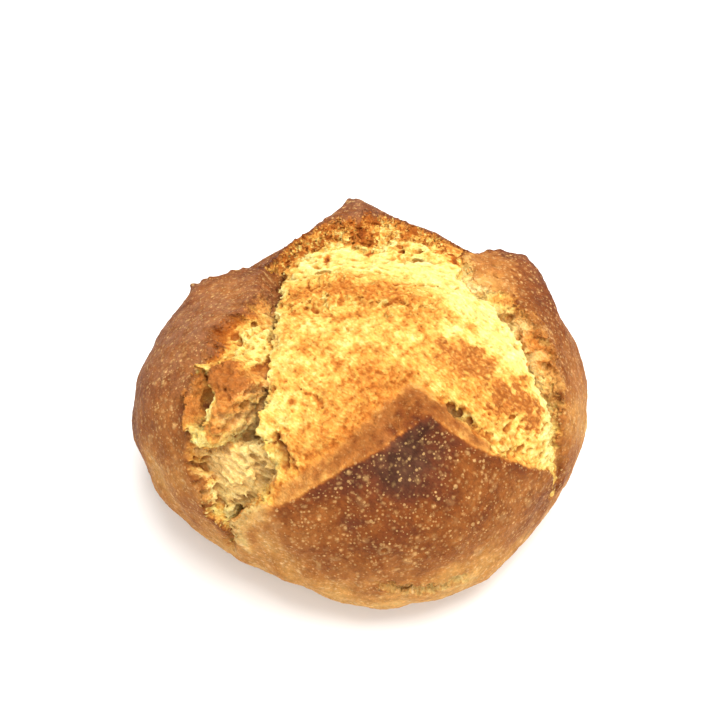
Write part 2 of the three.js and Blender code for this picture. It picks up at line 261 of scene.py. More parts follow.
burst = smooth(SIDE, -0.2, 1.8)


def add(target, made, amount):
    value, w = made
    target[w] += value * amount


def mix(target, made, to, share=1.0):
    value, w = made
    target[w] += (to - target[w]) * value * share


# swells and sinks of the envelope
for u, v, s, k in [
    (-112, 50, 18, 3.4), (100, 56, 20, 4.6), (36, -86, 14, 2.2), (-78, 98, 22, -5.0),
    (84, 92, 20, -4.0), (-160, 12, 22, -2.0), (138, 40, 18, -2.0), (10, -25, 48, 3.0), (-80, -64, 15, 2.0),
]:
    relief += k * blob(u, v, s)
# the back tip is a peak, not a swell
relief += 9.5 * np.exp(-((np.hypot((MU + 3) / 1.15, MV - 108) / 15.0) ** 1.25))
relief += noise2(90, 21, 1.5, 3) * 0.55  # hand-shaped unevenness

swell = relief.copy()

# crest lines that run to the tips
add(relief, stroke([(76, 60, 0.5), (88, 66), (102, 60), (113, 48), (121, 32, 0.8), (128, 12, 0.4), (134, -10, 0)], 7, 0.3), 2.2)
add(relief, stroke([(-78, 66, 0.4), (-94, 62), (-108, 54), (-118, 42, 0.9), (-124, 22, 0.5), (-127, 0, 0)], 7, 0.3), 1.8)
add(relief, stroke([(-50, 84, 0.5), (-30, 96), (-12, 106), (2, 107), (22, 98), (44, 90, 0.6)], 7, 0.3), 1.6)
for u, v, s, k in [(-113, 56, 3.0, 2.4), (-107, 54, 2.2, 1.6), (-96, 64, 2.6, 1.6), (-90, 68, 2.0, 1.4), (-84, 72, 2.4, 1.6), (84, 66, 3.0, 1.8), (92, 66, 2.4, 1.4), (104, 60, 3.0, 1.6), (-9, 108, 3, 1.6)]:
    relief += k * blob(u, v, s)
for u, v, s, k in [(-121, 55, 3.4, 4.2), (-119, 49, 4, 1.6), (-100, 70, 2.4, 1.5), (92, 76, 3, 1.4), (108, 64, 3, 1.6), (-8, 109, 2.2, 1.4)]:
    relief += k * blob(u, v, s)

# lips and drops along the crust's edge
relief += LIP * np.exp(-np.abs(SIDE) / np.where(SIDE < 0, 5.5, 1.0))
relief -= DROP * burst * np.exp(-((np.maximum(SIDE, 0) / 13.0) ** 2))

# crest of the front flap and the smooth band above it
CREST = [(-62, -133, 0.5), (-40, -131, 0.6), (-20, -121, 0.7), (0, -110, 0.8), (22, -97, 0.9), (31, -89, 1), (37, -83, 1.1), (44, -87, 1), (52, -91, 0.9), (62, -95, 0.8), (85, -100, 0.6), (110, -102, 0.5), (132, -100, 0.3)]
add(relief, stroke(CREST, 7, 0.15), 2.6)
add(relief, stroke([(36, -84), (28, -96), (20, -108, 0.6), (12, -120, 0)], 8, 0.15), 1.2)
BAND = [(37, -83), (31, -90), (22, -97), (10, -105), (0, -110), (-20, -120), (-40, -130), (-54, -132), (-50, -122), (-31, -113), (-16, -104), (-4, -95), (8, -84), (20, -74), (30, -65), (35, -64), (42, -68), (49, -73), (58, -81), (68, -88), (78, -97), (70, -98), (60, -95), (50, -90)]
band, band_w = region(BAND, 5, 0.35)
FOOT = [(-33, -112, 0.5), (-17, -103, 0.8), (-5, -94), (7, -82), (19, -72), (29, -63), (36, -64), (45, -70)]
add(relief, stroke(FOOT, 6, 0.6), -2.4)
TORN = [(48, -72, 0.6), (57, -79), (66, -85), (73, -91), (82, -97), (92, -97), (102, -95, 0.5)]
add(relief, stroke(TORN, 3.4, 0.8), -3.2)
add(relief, region([(52, -73), (60, -74), (70, -80), (72, -86), (64, -84), (56, -79)], 3, 0.8), -3.6)
add(relief, stroke([(50, -77), (60, -84), (70, -91), (79, -99)], 2.6, 0.8), 1.3)

# left: lip, crevice, hollow, torn chunk with its pocket
CREVICE = [(-69, 60, 0.4), (-66, 46, 0.8), (-67, 30), (-66, 15), (-66, 0), (-64, -14), (-62, -26, 0.7), (-60, -36, 0.3)]
add(relief, stroke(CREVICE, 4.0, 0.8), -5.0)
CLEFT = [(-74, 58), (-66, 62), (-61, 44), (-60, 20), (-60, 2), (-61, -12), (-62, -23), (-67, -20), (-70, -9), (-72, 2), (-73, 20), (-75, 40)]
add(relief, region(CLEFT, 2.6, 0.7), -9.0)
WALL = [(-60, -38), (-57, -44), (-57, -52), (-59, -60), (-64, -56), (-69, -50), (-66, -44)]
add(relief, region(WALL, 3, 0.6), -4.5)
HOLLOW = [(-85, -6), (-74, -1), (-64, -14), (-59, -34), (-62, -50), (-74, -42), (-86, -34), (-89, -20)]
add(relief, region(HOLLOW, 5), -3.0)
CHUNK = [(-96, -39), (-88, -38), (-82, -40), (-72, -46), (-62, -56), (-61, -64), (-68, -72), (-72, -82), (-80, -88), (-90, -92), (-99, -86), (-104, -76), (-106, -62), (-103, -48)]
add(relief, region(CHUNK, 3, 0.8), 6.5)
POCKET = [(-97, -43), (-90, -44), (-86, -52), (-82, -60), (-84, -70), (-89, -80), (-95, -76), (-99, -66), (-99, -54)]
add(relief, region(POCKET, 3.4), -8.5)
add(relief, stroke([(-88, -46), (-90, -58), (-92, -70)], 3.0), -4.0)
relief -= 2.5 * blob(-85, -64, 6)
add(relief, stroke([(-100, -42), (-92, -40), (-86, -46), (-84, -52, 0.5)], 2.0), 2.6)
add(relief, stroke([(-83, -50), (-74, -56), (-64, -62), (-70, -70), (-76, -76)], 4.0), 1.6)
UNDER = [(-58, -54, 0.4), (-60, -64), (-65, -74), (-70, -82), (-78, -92, 0.9), (-86, -96, 0.3)]
UNDERCUT = [(-62, -61), (-59, -66), (-59, -74), (-60, -82), (-62, -90), (-66, -96), (-74, -98), (-83, -95), (-82, -90), (-76, -87), (-71, -83), (-70, -76), (-66, -71), (-64, -67)]
add(relief, region(UNDERCUT, 2.2, 0.5), -11.0)
SHADED = [(-74, -101), (-63, -105), (-59, -112), (-58, -124), (-64, -130), (-73, -128), (-80, -125), (-73, -118), (-71, -110)]
FOLD = [(-50, -89), (-46, -98), (-42, -108), (-43, -115), (-49, -114), (-52, -104), (-53, -96)]
add(relief, stroke([(-104, -60), (-105, -66), (-104, -72)], 2.4, 0.4), -3.5)

# left below: stretched crumb laid bare, and the hole under the front flap
BARE = [(-110, -99), (-100, -91), (-86, -93), (-72, -92), (-62, -91), (-55, -97), (-53, -112), (-58, -124), (-66, -131), (-77, -134), (-90, -143), (-104, -141), (-112, -140), (-116, -132), (-109, -122), (-110, -108)]
add(relief, region(BARE, 6), -5.5)
HOLE = [(-90, -146), (-100, -142), (-110, -144), (-110, -152), (-106, -160), (-101, -158), (-96, -152)]
add(relief, region(HOLE, 4), -11.0)
add(relief, stroke([(-106, -158), (-118, -170, 0.7), (-132, -184, 0.35), (-146, -198, 0)], 5.5), -5.5)
add(relief, stroke([(-62, -90, 0.4), (-56, -100), (-54, -112), (-58, -124, 0.6)], 3.0), -2.5)
add(relief, stroke([(-50, -92, 0.5), (-46, -100), (-42, -108), (-38, -116, 0.4)], 3.2), -2.0)
add(relief, stroke([(-47, -90, 0.5), (-41, -98), (-37, -106), (-34, -112, 0.3)], 2.4), 1.4)

add(relief, region(SHADED, 4, 0.6), -4.5)
add(relief, region(FOLD, 2.6, 0.6), -4.0)
add(relief, stroke([(-40, -67, 0.5), (-36, -69), (-30, -72), (-24, -78), (-20, -81, 0.4)], 1.3, 0.4), -1.6)

# right: torn strip between the burst and the flap
STRIP = [(88, 6), (92, -6), (96, -20), (101, -29), (107, -37), (112, -44), (118, -51), (124, -59), (130, -62), (127, -52), (121, -45), (117, -37), (113, -28), (109, -18), (105, -8), (100, 0), (95, 6)]
add(relief, region(STRIP, 3, 0.7), -4.0)
TEAR_R = [(73, 32), (80, 16), (92, 14), (103, 2), (112, -14), (118, -34), (126, -50), (130, -64), (126, -66), (118, -58), (109, -47), (102, -35), (96, -19), (88, -1), (75, 18)]
add(relief, region(TEAR_R, 6), -3.2)
add(relief, stroke([(70, 44, 0.6), (72, 30), (81, 13, 0.7), (93, -3, 0.8), (102, -13), (107, -27), (114, -41), (121, -53), (127, -62)], 3.8), -4.8)
add(relief, stroke([(124, -54), (127, -63)], 4.0, 0.4), -6.0)
for u, v, s, k in [(99, 3, 3.2, 4), (87, 43, 2.0, 3), (88, 33, 2.4, 3), (86, 20, 2.4, 3), (70, 30, 3, 4), (103, -17, 2.6, 4), (96, -26, 2, 3), (105, -28, 2.2, 3), (112, -42, 5, 3), (80, 12, 2.4, 2.5), (22, 66, 2, 1.6), (48, 72, 2, 2), (-53, 38, 4, 3)]:
    relief -= k * blob(u, v, s)

# back: broken rim, the slope down from it, and small crevices
RIM = [(-62, 66, 0.6), (-45, 70, 0.8), (-28, 74), (-8, 72), (2, 68), (16, 72), (36, 74), (56, 68, 0.8), (66, 62, 0.5)]
add(relief, stroke(RIM, 6.5), -4.2)
add(relief, stroke([(28, 47, 0.6), (38, 46), (46, 43), (52, 44, 0.5)], 2.8), -3.6)
add(relief, stroke([(22, 57, 0.5), (36, 56), (52, 51), (64, 48, 0.6)], 3.0), 1.8)
SLOPE = [(-50, 34), (-20, 34), (15, 28), (42, 14), (60, 4), (66, 30), (60, 42), (40, 42), (10, 56), (-30, 58), (-52, 50)]
add(relief, region(SLOPE, 12, 0.5), -1.6)

# the burst plate's upper edge, and the small fold on it
ARC = [(-54, 26, 0.6), (-40, 28), (-26, 28), (-12, 22), (0, 20), (12, 19), (22, 15), (32, 9), (42, 4), (52, -2, 0.5)]
SHELF = [(-54, 4), (-53, 14), (-44, 19), (-30, 21), (-12, 22), (6, 16), (23, 10), (38, 1), (50, -7), (46, -14), (29, -10), (13, -4), (-8, 0), (-29, 0), (-42, -6)]
add(relief, region(SHELF, 2.2, 2.2), 1.9)
add(relief, stroke(ARC, 4.5, 0.8), 0.8)
add(relief, stroke([(u, v + 8, k[0] if k else 1.0) for u, v, *k in ARC], 5.0, 0.8), -1.2)
add(relief, stroke([(15, -5, 0.7), (20, -1), (26, 0), (30, -4), (33, -10, 0.5)], 1.6, 0.3), 1.3)
add(relief, stroke([(16, -7, 0.7), (21, -4), (26, -4), (29, -8, 0.5)], 1.8, 0.3), -1.5)

# the tears run on between the flaps, down the sides
for pts, k in [
    ([(-72, 68), (-86, 84, 0.8), (-104, 102, 0.45), (-124, 120, 0)], 5.0),
    ([(76, 64), (88, 80, 0.8), (104, 96, 0.45), (124, 116, 0)], 5.0),
    ([(134, -76, 0.7), (150, -90, 0.7), (166, -106, 0.4), (186, -122, 0)], 3.5),
]:
    add(relief, stroke(pts, 7), -k)
# split seam low on the front
SEAM = [(14, -206, 0.3), (22, -210), (34, -214), (48, -212), (60, -216), (68, -208), (78, -203), (90, -201), (100, -203, 0.3)]
add(relief, stroke(SEAM, 1.9, 2.4), -4.4)
add(relief, stroke([(u, v - 5, 1) for u, v, *_ in SEAM], 3, 1.0), 0.9)

# ------------------------------------------------------------------ how toasted it is
crumbiness = burst.copy()
crumbiness[band_w] *= 1 - band
PATCHES = [  # outline, toast, share, softness
    ([(43, -45), (50, -34), (62, -28), (73, -35), (83, -45), (91, -50), (102, -56), (116, -62), (114, -74), (96, -80), (82, -86), (71, -84), (63, -76), (55, -70), (46, -61)], 0.42, 0.85, 9),
    ([(50, -36), (57, -30), (64, -28), (71, -33), (77, -40), (83, -44), (84, -51), (80, -56), (72, -58), (65, -56), (58, -51), (50, -46)], 0.63, 0.95, 4),
    ([(76, -61), (85, -53), (91, -50), (96, -54), (103, -57), (113, -61), (115, -66), (107, -73), (96, -75), (86, -74), (79, -70)], 0.68, 0.97, 4),
    ([(0, -48), (16, -54), (24, -60), (14, -70), (0, -78), (-10, -84), (-14, -74), (-6, -60)], 0.50, 0.75, 8),
    ([(-54, 4), (-52, 14), (-44, 18), (-30, 20), (-12, 21), (6, 15), (23, 9), (38, 0), (50, -7), (46, -14), (29, -9), (13, -3), (-8, 1), (-29, 2), (-42, -4)], 0.56, 0.92, 4),
    ([(-48, -60), (-32, -55), (-14, -61), (5, -70), (21, -71), (11, -82), (-7, -93), (-18, -101), (-33, -102), (-41, -93)], 0.42, 0.6, 12),
    ([(-47, -92), (-40, -96), (-33, -104), (-33, -114), (-40, -110), (-45, -100)], 0.58, 0.9, 3),
    ([(-56, 0), (-48, 2), (-44, -20), (-50, -40), (-56, -40)], 0.38, 0.5, 8),
    ([(-40, -34), (-24, -30), (-12, -38), (-20, -48), (-36, -46)], 0.40, 0.5, 8),
    ([(6, -20), (24, -18), (34, -30), (24, -42), (8, -38)], 0.38, 0.5, 9),
    ([(96, -80), (116, -80), (126, -86), (120, -93), (100, -93), (88, -90)], 0.44, 0.6, 7),
]
for pts, to, share, soft_ in PATCHES[1:3] + PATCHES[6:7]:
    t, w = region(pts, soft_, 1.8)
    crumbiness[w] *= 1 - 0.45 * share * t
cloud = noise2(34, 31, 1.6, 6)
cloud2 = noise2(12, 32, 1.2, 5)
toast[:] = 0.80 + 0.035 * noise2(60, 33, 1.4, 4)
# burst: golden mottling
golden = 0.29 + 0.06 * cloud + 0.05 * cloud2
toast += (golden - toast) * burst
# pale slope below the back flap and down the right side of the burst
mix(toast, region([(-52, 36), (-28, 36), (-10, 30), (14, 28), (32, 18), (50, 4), (58, -10), (76, -30), (96, -46), (112, -58), (124, -66), (117, -53), (104, -35), (97, -20), (89, -1), (75, 20), (67, 42), (60, 62), (40, 72), (20, 70), (-20, 70), (-56, 66)], 10, 1.0), 0.10, 0.88)
mix(toast, region([(134, -72), (118, -66), (108, -72), (90, -78), (76, -84), (84, -96), (104, -95), (126, -94), (142, -100), (150, -92)], 8, 1.2), 0.22, 0.7)
mix(toast, region([(-52, -70), (-40, -66), (-26, -76), (-20, -84), (-30, -94), (-44, -92), (-52, -84)], 8, 1.2), 0.14, 0.8)
mix(toast, region([(-70, -20), (-62, -22), (-58, -36), (-64, -46), (-76, -44), (-84, -34), (-80, -18)], 6, 1.0), 0.20, 0.8)
# brown patches where the burst's skin stayed whole
for pts, to, share, soft_ in PATCHES:
    mix(toast, region(pts, soft_, 2.2), to, share)
speckle = noise2(4.5, 35, 1.0, 3)
for pts, to, share, soft_ in PATCHES:
    t, w = region(pts, soft_, 2.2)
    toast[w] += t * 0.07 * np.clip(speckle[w], -2, 1.2)
    toast[w] -= t * 0.16 * smooth(speckle[w], 1.2, 2.0)
# the dome browns gently towards the front flap's band
foot_d = nearest(MU, MV, [(-48, -124), (-36, -108), (-20, -99), (-8, -90), (4, -78), (16, -68), (27, -61)])[0]
toast += (0.50 + 0.05 * cloud2 - toast) * burst * 0.75 * np.exp(-((foot_d / 13.0) ** 2))
# torn rim of the back flap, orange fading into the pale slope
rim_d = nearest(MU + ragged_u * 1.6, MV + ragged_v * 1.6, [(-66, 74), (-45, 80), (-25, 88), (-8, 88), (8, 84), (30, 84), (48, 80), (62, 76)])[0]
toast += (0.52 + 0.06 * cloud2 - toast) * burst * np.exp(-((rim_d / 11) ** 2)) * (MV > 50) * (0.9 - 0.4 * smooth(MU, 5, 40))
for u, v, s, k in [(-60, 54, 8, 0.5), (-26, 52, 8, 0.42), (6, 57, 5, 0.5), (28, 56, 8, 0.5), (58, 55, 9, 0.55), (2, 74, 8, 0.35), (66, 46, 6, 0.4)]:
    toast += k * blob(u, v, s) * burst * (0.75 + 0.5 * cloud2)
for pts, wide, to in [
    ([(-58, 76, 0.5), (-44, 82), (-30, 86), (-14, 86), (-2, 82), (8, 86, 0.6)], 2.2, 0.68), ([(6, 90, 0.6), (16, 86), (30, 88), (46, 84), (60, 78, 0.5)], 2.4, 0.68),
    ([(16, 64, 0.5), (30, 66), (44, 64), (58, 58, 0.6)], 2.2, 0.52), ([(24, 52, 0.5), (36, 51), (50, 47, 0.6)], 1.6, 0.50), ([(-60, 54, 0.6), (-46, 58), (-32, 60, 0.5)], 3.0, 0.50),
    ([(-62, 66, 0.6), (-50, 70), (-38, 72, 0.5)], 3.0, 0.58),
]:
    mix(toast, stroke(pts, wide, 2.2), to, 0.85)
for pts, wide, to in [([(-50, 78, 0.6), (-34, 81), (-16, 81), (-4, 77, 0.6)], 2.0, 0.24), ([(10, 82, 0.5), (26, 82), (42, 79), (56, 73, 0.5)], 2.0, 0.22), ([(-30, 70, 0.7), (-10, 68), (6, 64, 0.6)], 3.0, 0.20)]:
    mix(toast, stroke(pts, wide, 2.2), to, 0.7)
# lips: well browned at the very edge, fading over a few millimetres
lip_tone = np.exp(-((np.maximum(SIDE, 0) / 4.0) ** 2)) * smooth(LEAN, 0.15, 0.6)
toast += (0.54 - toast) * lip_tone * burst * 0.8
# smooth band of the front flap
smooth_band = np.zeros((N, N), np.float32)
smooth_band[band_w] = band
t, w = region(BAND, 9, 0.5)
toast[w] += (0.60 + 0.05 * smooth(MU[w], -10, 30) - 0.07 * smooth(-MU[w], 10, 50) + 0.025 * cloud2[w] - toast[w]) * t
# chunk: brown top, orange rims, pale pocket
mix(toast, region(CHUNK, 5), 0.48, 0.8)
mix(toast, region([(-85, -42), (-76, -44), (-61, -57), (-62, -66), (-70, -70), (-80, -62), (-84, -52)], 4), 0.74, 0.9)
mix(toast, region(POCKET, 4), 0.20, 0.9)
mix(toast, region([(-100, -78), (-92, -78), (-84, -84), (-88, -92), (-97, -86)], 4), 0.22, 0.8)
mix(toast, region([(-112, -88), (-98, -84), (-84, -92), (-92, -108), (-106, -112), (-113, -100)], 8, 1.6), 0.52, 0.7)
mix(toast, stroke([(-92, -4), (-90, -18), (-88, -30), (-96, -36)], 5), 0.66, 0.8)
mix(toast, region(WALL, 3, 0.6), 0.58, 0.95)
# browned lip over the hollow, bright crumb below it, orange under the chunk
mix(toast, stroke([(-77, 4, 0.6), (-84, 0), (-90, -3), (-95, -10), (-94, -20), (-92, -31, 0.7)], 2.2, 0.8), 0.74, 0.9)
mix(toast, region([(-90, -9), (-82, -5), (-72, -5), (-64, -18), (-60, -36), (-66, -44), (-76, -42), (-87, -33), (-91, -20)], 6, 1.0), 0.20, 0.9)
mix(toast, region([(-100, -76), (-92, -77), (-85, -82), (-84, -90), (-90, -93), (-98, -86)], 3, 0.6), 0.10, 0.9)
mix(toast, region([(-101, -44), (-94, -44), (-93, -54), (-95, -70), (-100, -72), (-103, -56)], 3, 0.6), 0.56, 0.9)
mix(toast, region([(-78, -66), (-70, -66), (-66, -74), (-73, -86), (-82, -87), (-80, -76)], 3, 0.8), 0.46, 0.85)
mix(toast, region([(-91, -56), (-83, -57), (-77, -65), (-79, -76), (-87, -79), (-91, -68)], 3, 0.6), 0.12, 0.92)
mix(toast, region([(-98, -92), (-84, -94), (-80, -104), (-88, -114), (-98, -110), (-100, -100)], 6, 1.2), 0.48, 0.85)
mix(toast, region([(-80, -100), (-62, -95), (-54, -98), (-56, -104), (-66, -104), (-74, -106)], 4, 1.0), 0.10, 0.8)
mix(toast, stroke([(-99, -41), (-94, -39), (-89, -42), (-85, -49, 0.6)], 1.5, 0.4), 0.05, 0.9)
mix(toast, stroke([(-56, -132, 0.5), (-66, -133), (-75, -136), (-81, -142), (-88, -146), (-96, -153), (-101, -161), (-110, -172, 0.5)], 3.0, 0.3), 0.16, 0.9)
mix(toast, region(TEAR_R, 5, 1.0), 0.22, 0.8)
# golden torn edge of the right flap, with a pale rim
mix(toast, region([(73, 58), (71, 44), (71, 30), (76, 18), (88, 18), (99, 12), (98, 28), (97, 44), (93, 56), (82, 63)], 5, 1.4), 0.58, 0.9)
mix(toast, stroke([(75, 57, 0.5), (72, 45), (72, 32), (76, 21), (83, 18), (93, 17, 0.5)], 1.8, 0.6), 0.14, 0.9)
mix(toast, stroke([(-60, -138, 0.5), (-72, -141), (-84, -149), (-92, -158), (-98, -168), (-104, -182, 0.5)], 5.0, 0.4), 0.36, 0.75)
# orange band below the right flap's edge
mix(toast, region([(94, 10), (105, 6), (113, -2), (119, -15), (125, -27), (129, -40), (133, -53), (129, -58), (124, -48), (119, -39), (113, -28), (108, -17), (102, -4)], 4, 1.2), 0.50, 0.9)
# bare inner crumb
mix(raw, region(BARE, 7, 1.6), 1.0, 0.9)
mix(raw, region(TEAR_R, 8, 1.5), 1.0, 0.75)
mix(raw, stroke(CREVICE, 6), 1.0, 0.7)
mix(raw, stroke(UNDER, 4.5), 1.0, 0.6)
mix(raw, region(HOLE, 6), 1.0, 0.4)
mix(raw, region(POCKET, 4), 1.0, 0.35)
mix(raw, region(STRIP, 3, 0.8), 1.0, 0.85)
mix(raw, region(CHUNK, 4), 0.08, 0.85)
mix(raw, region([(-92, -4), (-72, -2), (-62, -16), (-58, -36), (-64, -48), (-80, -42), (-94, -34)], 4, 0.8), 0.0, 0.9)
raw *= burst
# painted shade in the recesses: crevices, holes and undercuts darkened to grey-brown, the deepest nearly to black
painted_shade = np.zeros((N, N), np.float32)
for made, to in [
    (region(CLEFT, 2.5, 0.7), 0.62), (region(UNDERCUT, 2.5, 0.6), 0.85), (region(SHADED, 7, 1.2), 0.32), (region(FOLD, 3, 0.6), 0.4),
    (region(WALL, 3, 0.6), 0.2), (region(HOLE, 4), 0.8), (region(STRIP, 4, 1.0), 0.45),
    (region([(52, -74), (60, -75), (70, -81), (72, -86), (64, -84), (56, -80)], 3, 0.8), 0.6),
    (stroke([(-85, -49), (-88, -54), (-91, -60)], 2.6, 0.5), 0.85), (stroke([(-93, -68), (-92, -76)], 2.8, 0.5), 0.9),
    (stroke([(122, -58), (128, -64)], 4.0, 0.5), 0.9), (stroke([(-104, -58), (-105, -65), (-104, -71)], 2.0, 0.3), 1.0),
    (stroke([(30, 46, 0.6), (38, 45), (46, 43), (50, 43, 0.5)], 1.8, 0.8), 0.6), (stroke([(-54, 30, 0.7), (-53, 40), (-56, 48, 0.6)], 2.6, 0.8), 0.5),
    (stroke([(-66, -91, 0.7), (-74, -94), (-80, -93, 0.6)], 3, 0.6), 0.4),
]:
    mix(painted_shade, made, to)
# painted shade in the small holes along the right torn strip
for u, v, r_ in [(88, 40, 1.6), (88, 31, 1.4), (87, 18, 1.4), (100, 2, 2.0), (85, 53, 1.4), (99, 4, 1.6), (92, -8, 1.5), (97, -19, 1.9), (102, -29, 1.8), (108, -36, 1.8), (112, -43, 2.2), (117, -52, 2.0)]:
    painted_shade = np.maximum(painted_shade, 0.95 * blob(u, v, r_))
painted_shade *= smooth(SIDE, -1.5, 1.5)
# painted shade along the seam's crack, with paler crust on either side
mix(toast, stroke(SEAM, 1.1, 2.4), 0.80, 0.8)
mix(toast, stroke([(u, v - 3.5, *q) for u, v, *q in SEAM], 2.2, 2.4), 0.36, 0.6)
mix(toast, stroke([(u, v + 3.5, *q) for u, v, *q in SEAM], 2.0, 2.4), 0.42, 0.5)
# scorch
scorch = np.zeros((N, N), np.float32)
for u, v, s, k in [(37, -86, 8, 0.17), (31, -93, 9, 0.14), (24, -103, 13, 0.18), (20, -117, 14, 0.15), (38, -106, 16, 0.09), (50, -98, 9, 0.06), (-124, 4, 20, 0.10), (-122, 38, 14, 0.08), (112, 60, 11, 0.15), (118, 44, 11, 0.12), (118, 22, 12, 0.05), (-2, 108, 10, 0.05), (100, -150, 26, 0.06), (60, -128, 40, 0.03), (-105, -66, 5, 0.08)]:
    scorch += k * blob(u, v, s)
toast += scorch * (1 + 0.12 * cloud2)
# dull bloom on the left and back crust
dust = np.zeros((N, N), np.float32)
for u, v, s_, k in [(-110, 0, 55, 0.42), (-4, 104, 30, 0.30), (112, 56, 16, 0.2), (24, -108, 16, 0.15)]:
    dust += k * blob(u, v, s_)
dust *= 1 + 0.4 * np.clip(noise2(20, 34, 1.4, 5), -1.5, 1.5)
dust = np.clip(dust, 0, 0.7)
# the crust's tone, place by place; the lightening at the far right edge, (180, -20) and (168, -50), is a painted
# highlight
for u, v, s_, k in [(-115, -10, 45, -0.09), (-92, 34, 20, -0.04), (90, -140, 34, -0.12), (60, -170, 30, -0.04), (-10, -196, 40, -0.06), (180, -20, 45, -0.17), (130, -110, 18, -0.06), (-60, -180, 30, -0.10), (-150, -95, 34, -0.30), (168, -50, 30, -0.20), (150, 20, 24, -0.05), (30, -135, 30, 0.02), (-20, -140, 24, 0.02)]:
    toast += k * blob(u, v, s_) * (1 - burst)
# lighter, more golden crust: top of the left flap, and low on the sides
toast -= 0.07 * blob(-92, 34, 20) * (1 - burst) + 0.04 * blob(-96, 10, 24) * (1 - burst)
rho = np.hypot(MU, MV)
toast -= (1 - burst) * (0.34 * smooth(rho, 178, 248) + 0.05 * smooth(-MV, 120, 220) * smooth(rho, 120, 200))
toast -= (1 - burst) * 0.10 * smooth(MV * 0 + nearest(MU, MV, [(-62, -133), (-78, -137), (-92, -149), (-104, -164), (-124, -186)])[0] * -1, -12, 0)

# torn crumb is drawn out in threads: fine height and tone stretched along the pull
def threads(angle, across, long, seed):
    r = np.random.default_rng(seed)
    n = 1536
    spec = np.fft.rfft2(r.standard_normal((n, n)).astype(np.float32))
    fy, fx = np.fft.fftfreq(n, STEP)[:, None], np.fft.rfftfreq(n, STEP)[None]
    a = math.radians(angle)
    f = np.hypot((fx * math.cos(a) + fy * math.sin(a)) * long, fy * math.cos(a) - fx * math.sin(a))
    lo = 1 / across
    gain = (np.maximum(f, lo) / lo) ** -1.5 * np.exp(-((f * across / 5.0) ** 2)) * (1 - np.exp(-((f / lo) ** 2)))
    out = np.fft.irfft2(spec * gain)[:N, :N]
    return (out / out.std()).astype(np.float32)


# the bake's own unevenness, place by place, on crust and crumb alike
for u, v, s_, k in [
    (138, -60, 26, -0.16), (128, -93, 20, -0.12), (119, -75, 10, -0.10), (112, -149, 24, -0.10), (86, -189, 26, -0.12), (71, -206, 22, -0.09),
    (108, -182, 22, -0.08), (-62, -150, 14, -0.12), (-71, -164, 18, -0.18), (-51, -162, 16, -0.08), (-128, -152, 20, -0.14), (-121, -104, 12, -0.14),
    (-110, -122, 8, -0.18), (-92, -56, 6, -0.12), (-86, -62, 7, -0.22), (-83, -71, 7, -0.14), (-76, -56, 6, -0.06), (-94, -82, 7, -0.14), (79, 25, 9, -0.14), (105, 14, 9, -0.12),
    (-95, -172, 14, -0.20), (-134, -146, 12, -0.12), (-110, -122, 8, -0.14), (26, 68, 10, -0.06), (-37, 57, 10, -0.06), (80, 25, 9, -0.08),
    (26, 58, 10, -0.08), (-37, 57, 10, -0.12), (-35, 3, 10, -0.06), (-4, -56, 12, 0.06), (-3, -123, 12, 0.17), (11, -118, 10, 0.11),
    (34, -117, 13, 0.12), (-4, -106, 9, 0.07), (20, -40, 12, 0.03),
]:
    toast += k * blob(u, v, s_)
toast = np.maximum(toast, 0.04)

# how torn the surface is (mm of noise)
rough[:] = 0.10
rough += (0.15 - rough) * crumbiness
mix(rough, region(BAND, 6, 0.4), 0.16)
mix(rough, region(BARE, 5), 0.38, 0.8)
mix(rough, region(TEAR_R, 5), 0.50, 0.8)
mix(rough, stroke(RIM, 9), 0.55, 0.8)
back = smooth(MV, 64, 74) * burst
rough += back * 0.28
BACK_LAYERS = [
    ([(-58, 74, 0.5), (-44, 80), (-30, 84), (-14, 84), (-2, 80), (8, 84, 0.6)], 2.2, 2.6),
    ([(6, 88, 0.6), (16, 84), (30, 86), (46, 82), (60, 76, 0.5)], 2.4, 2.8),
    ([(-50, 86, 0.5), (-36, 88), (-22, 88, 0.6)], 1.8, 2.2), ([(14, 92, 0.6), (28, 91), (44, 88), (54, 84, 0.5)], 1.8, 2.0),
    ([(-34, 76, 0.6), (-20, 77), (-8, 74, 0.5)], 1.8, 1.8), ([(24, 76, 0.5), (38, 75), (52, 71, 0.5)], 1.8, 2.0),
]
for pts, wide, k in BACK_LAYERS:
    add(relief, stroke(pts, wide, 1.6), k)
    add(relief, stroke([(u, v - 4.5, *q) for u, v, *q in pts], wide + 0.6, 1.6), -k * 1.1)
for pts, wide, k in [([(8, 93), (3, 86), (0, 78)], 2.0, 2.6), ([(2, 92), (-2, 86), (-4, 80)], 1.6, -2.0)]:
    add(relief, stroke(pts, wide, 0.6), k)
layer = threads(-3, 7.0, 4.5, 81)
layer2 = threads(8, 3.6, 3.6, 82)
zone = burst * smooth(MV + 0.10 * np.abs(MU), 60, 72) * smooth(-np.abs(MU + 4), -72, -58)
ledge = smooth(layer + 0.45 * layer2, -0.15, 0.45)
relief += zone * (2.3 * (ledge - 0.5) + 0.5 * np.clip(layer2, -1.5, 1.5))
toast += zone * (0.34 * (ledge - 0.55) + 0.06 * layer2)
mix(rough, region(SLOPE, 8), 0.18, 0.7)
rough += np.exp(-((SIDE / 4.0) ** 2)) * smooth(LEAN, 0.1, 0.6) * 0.28
rough += 0.22 * np.exp(-((SIDE / 5.0) ** 2)) * (MV > 60)

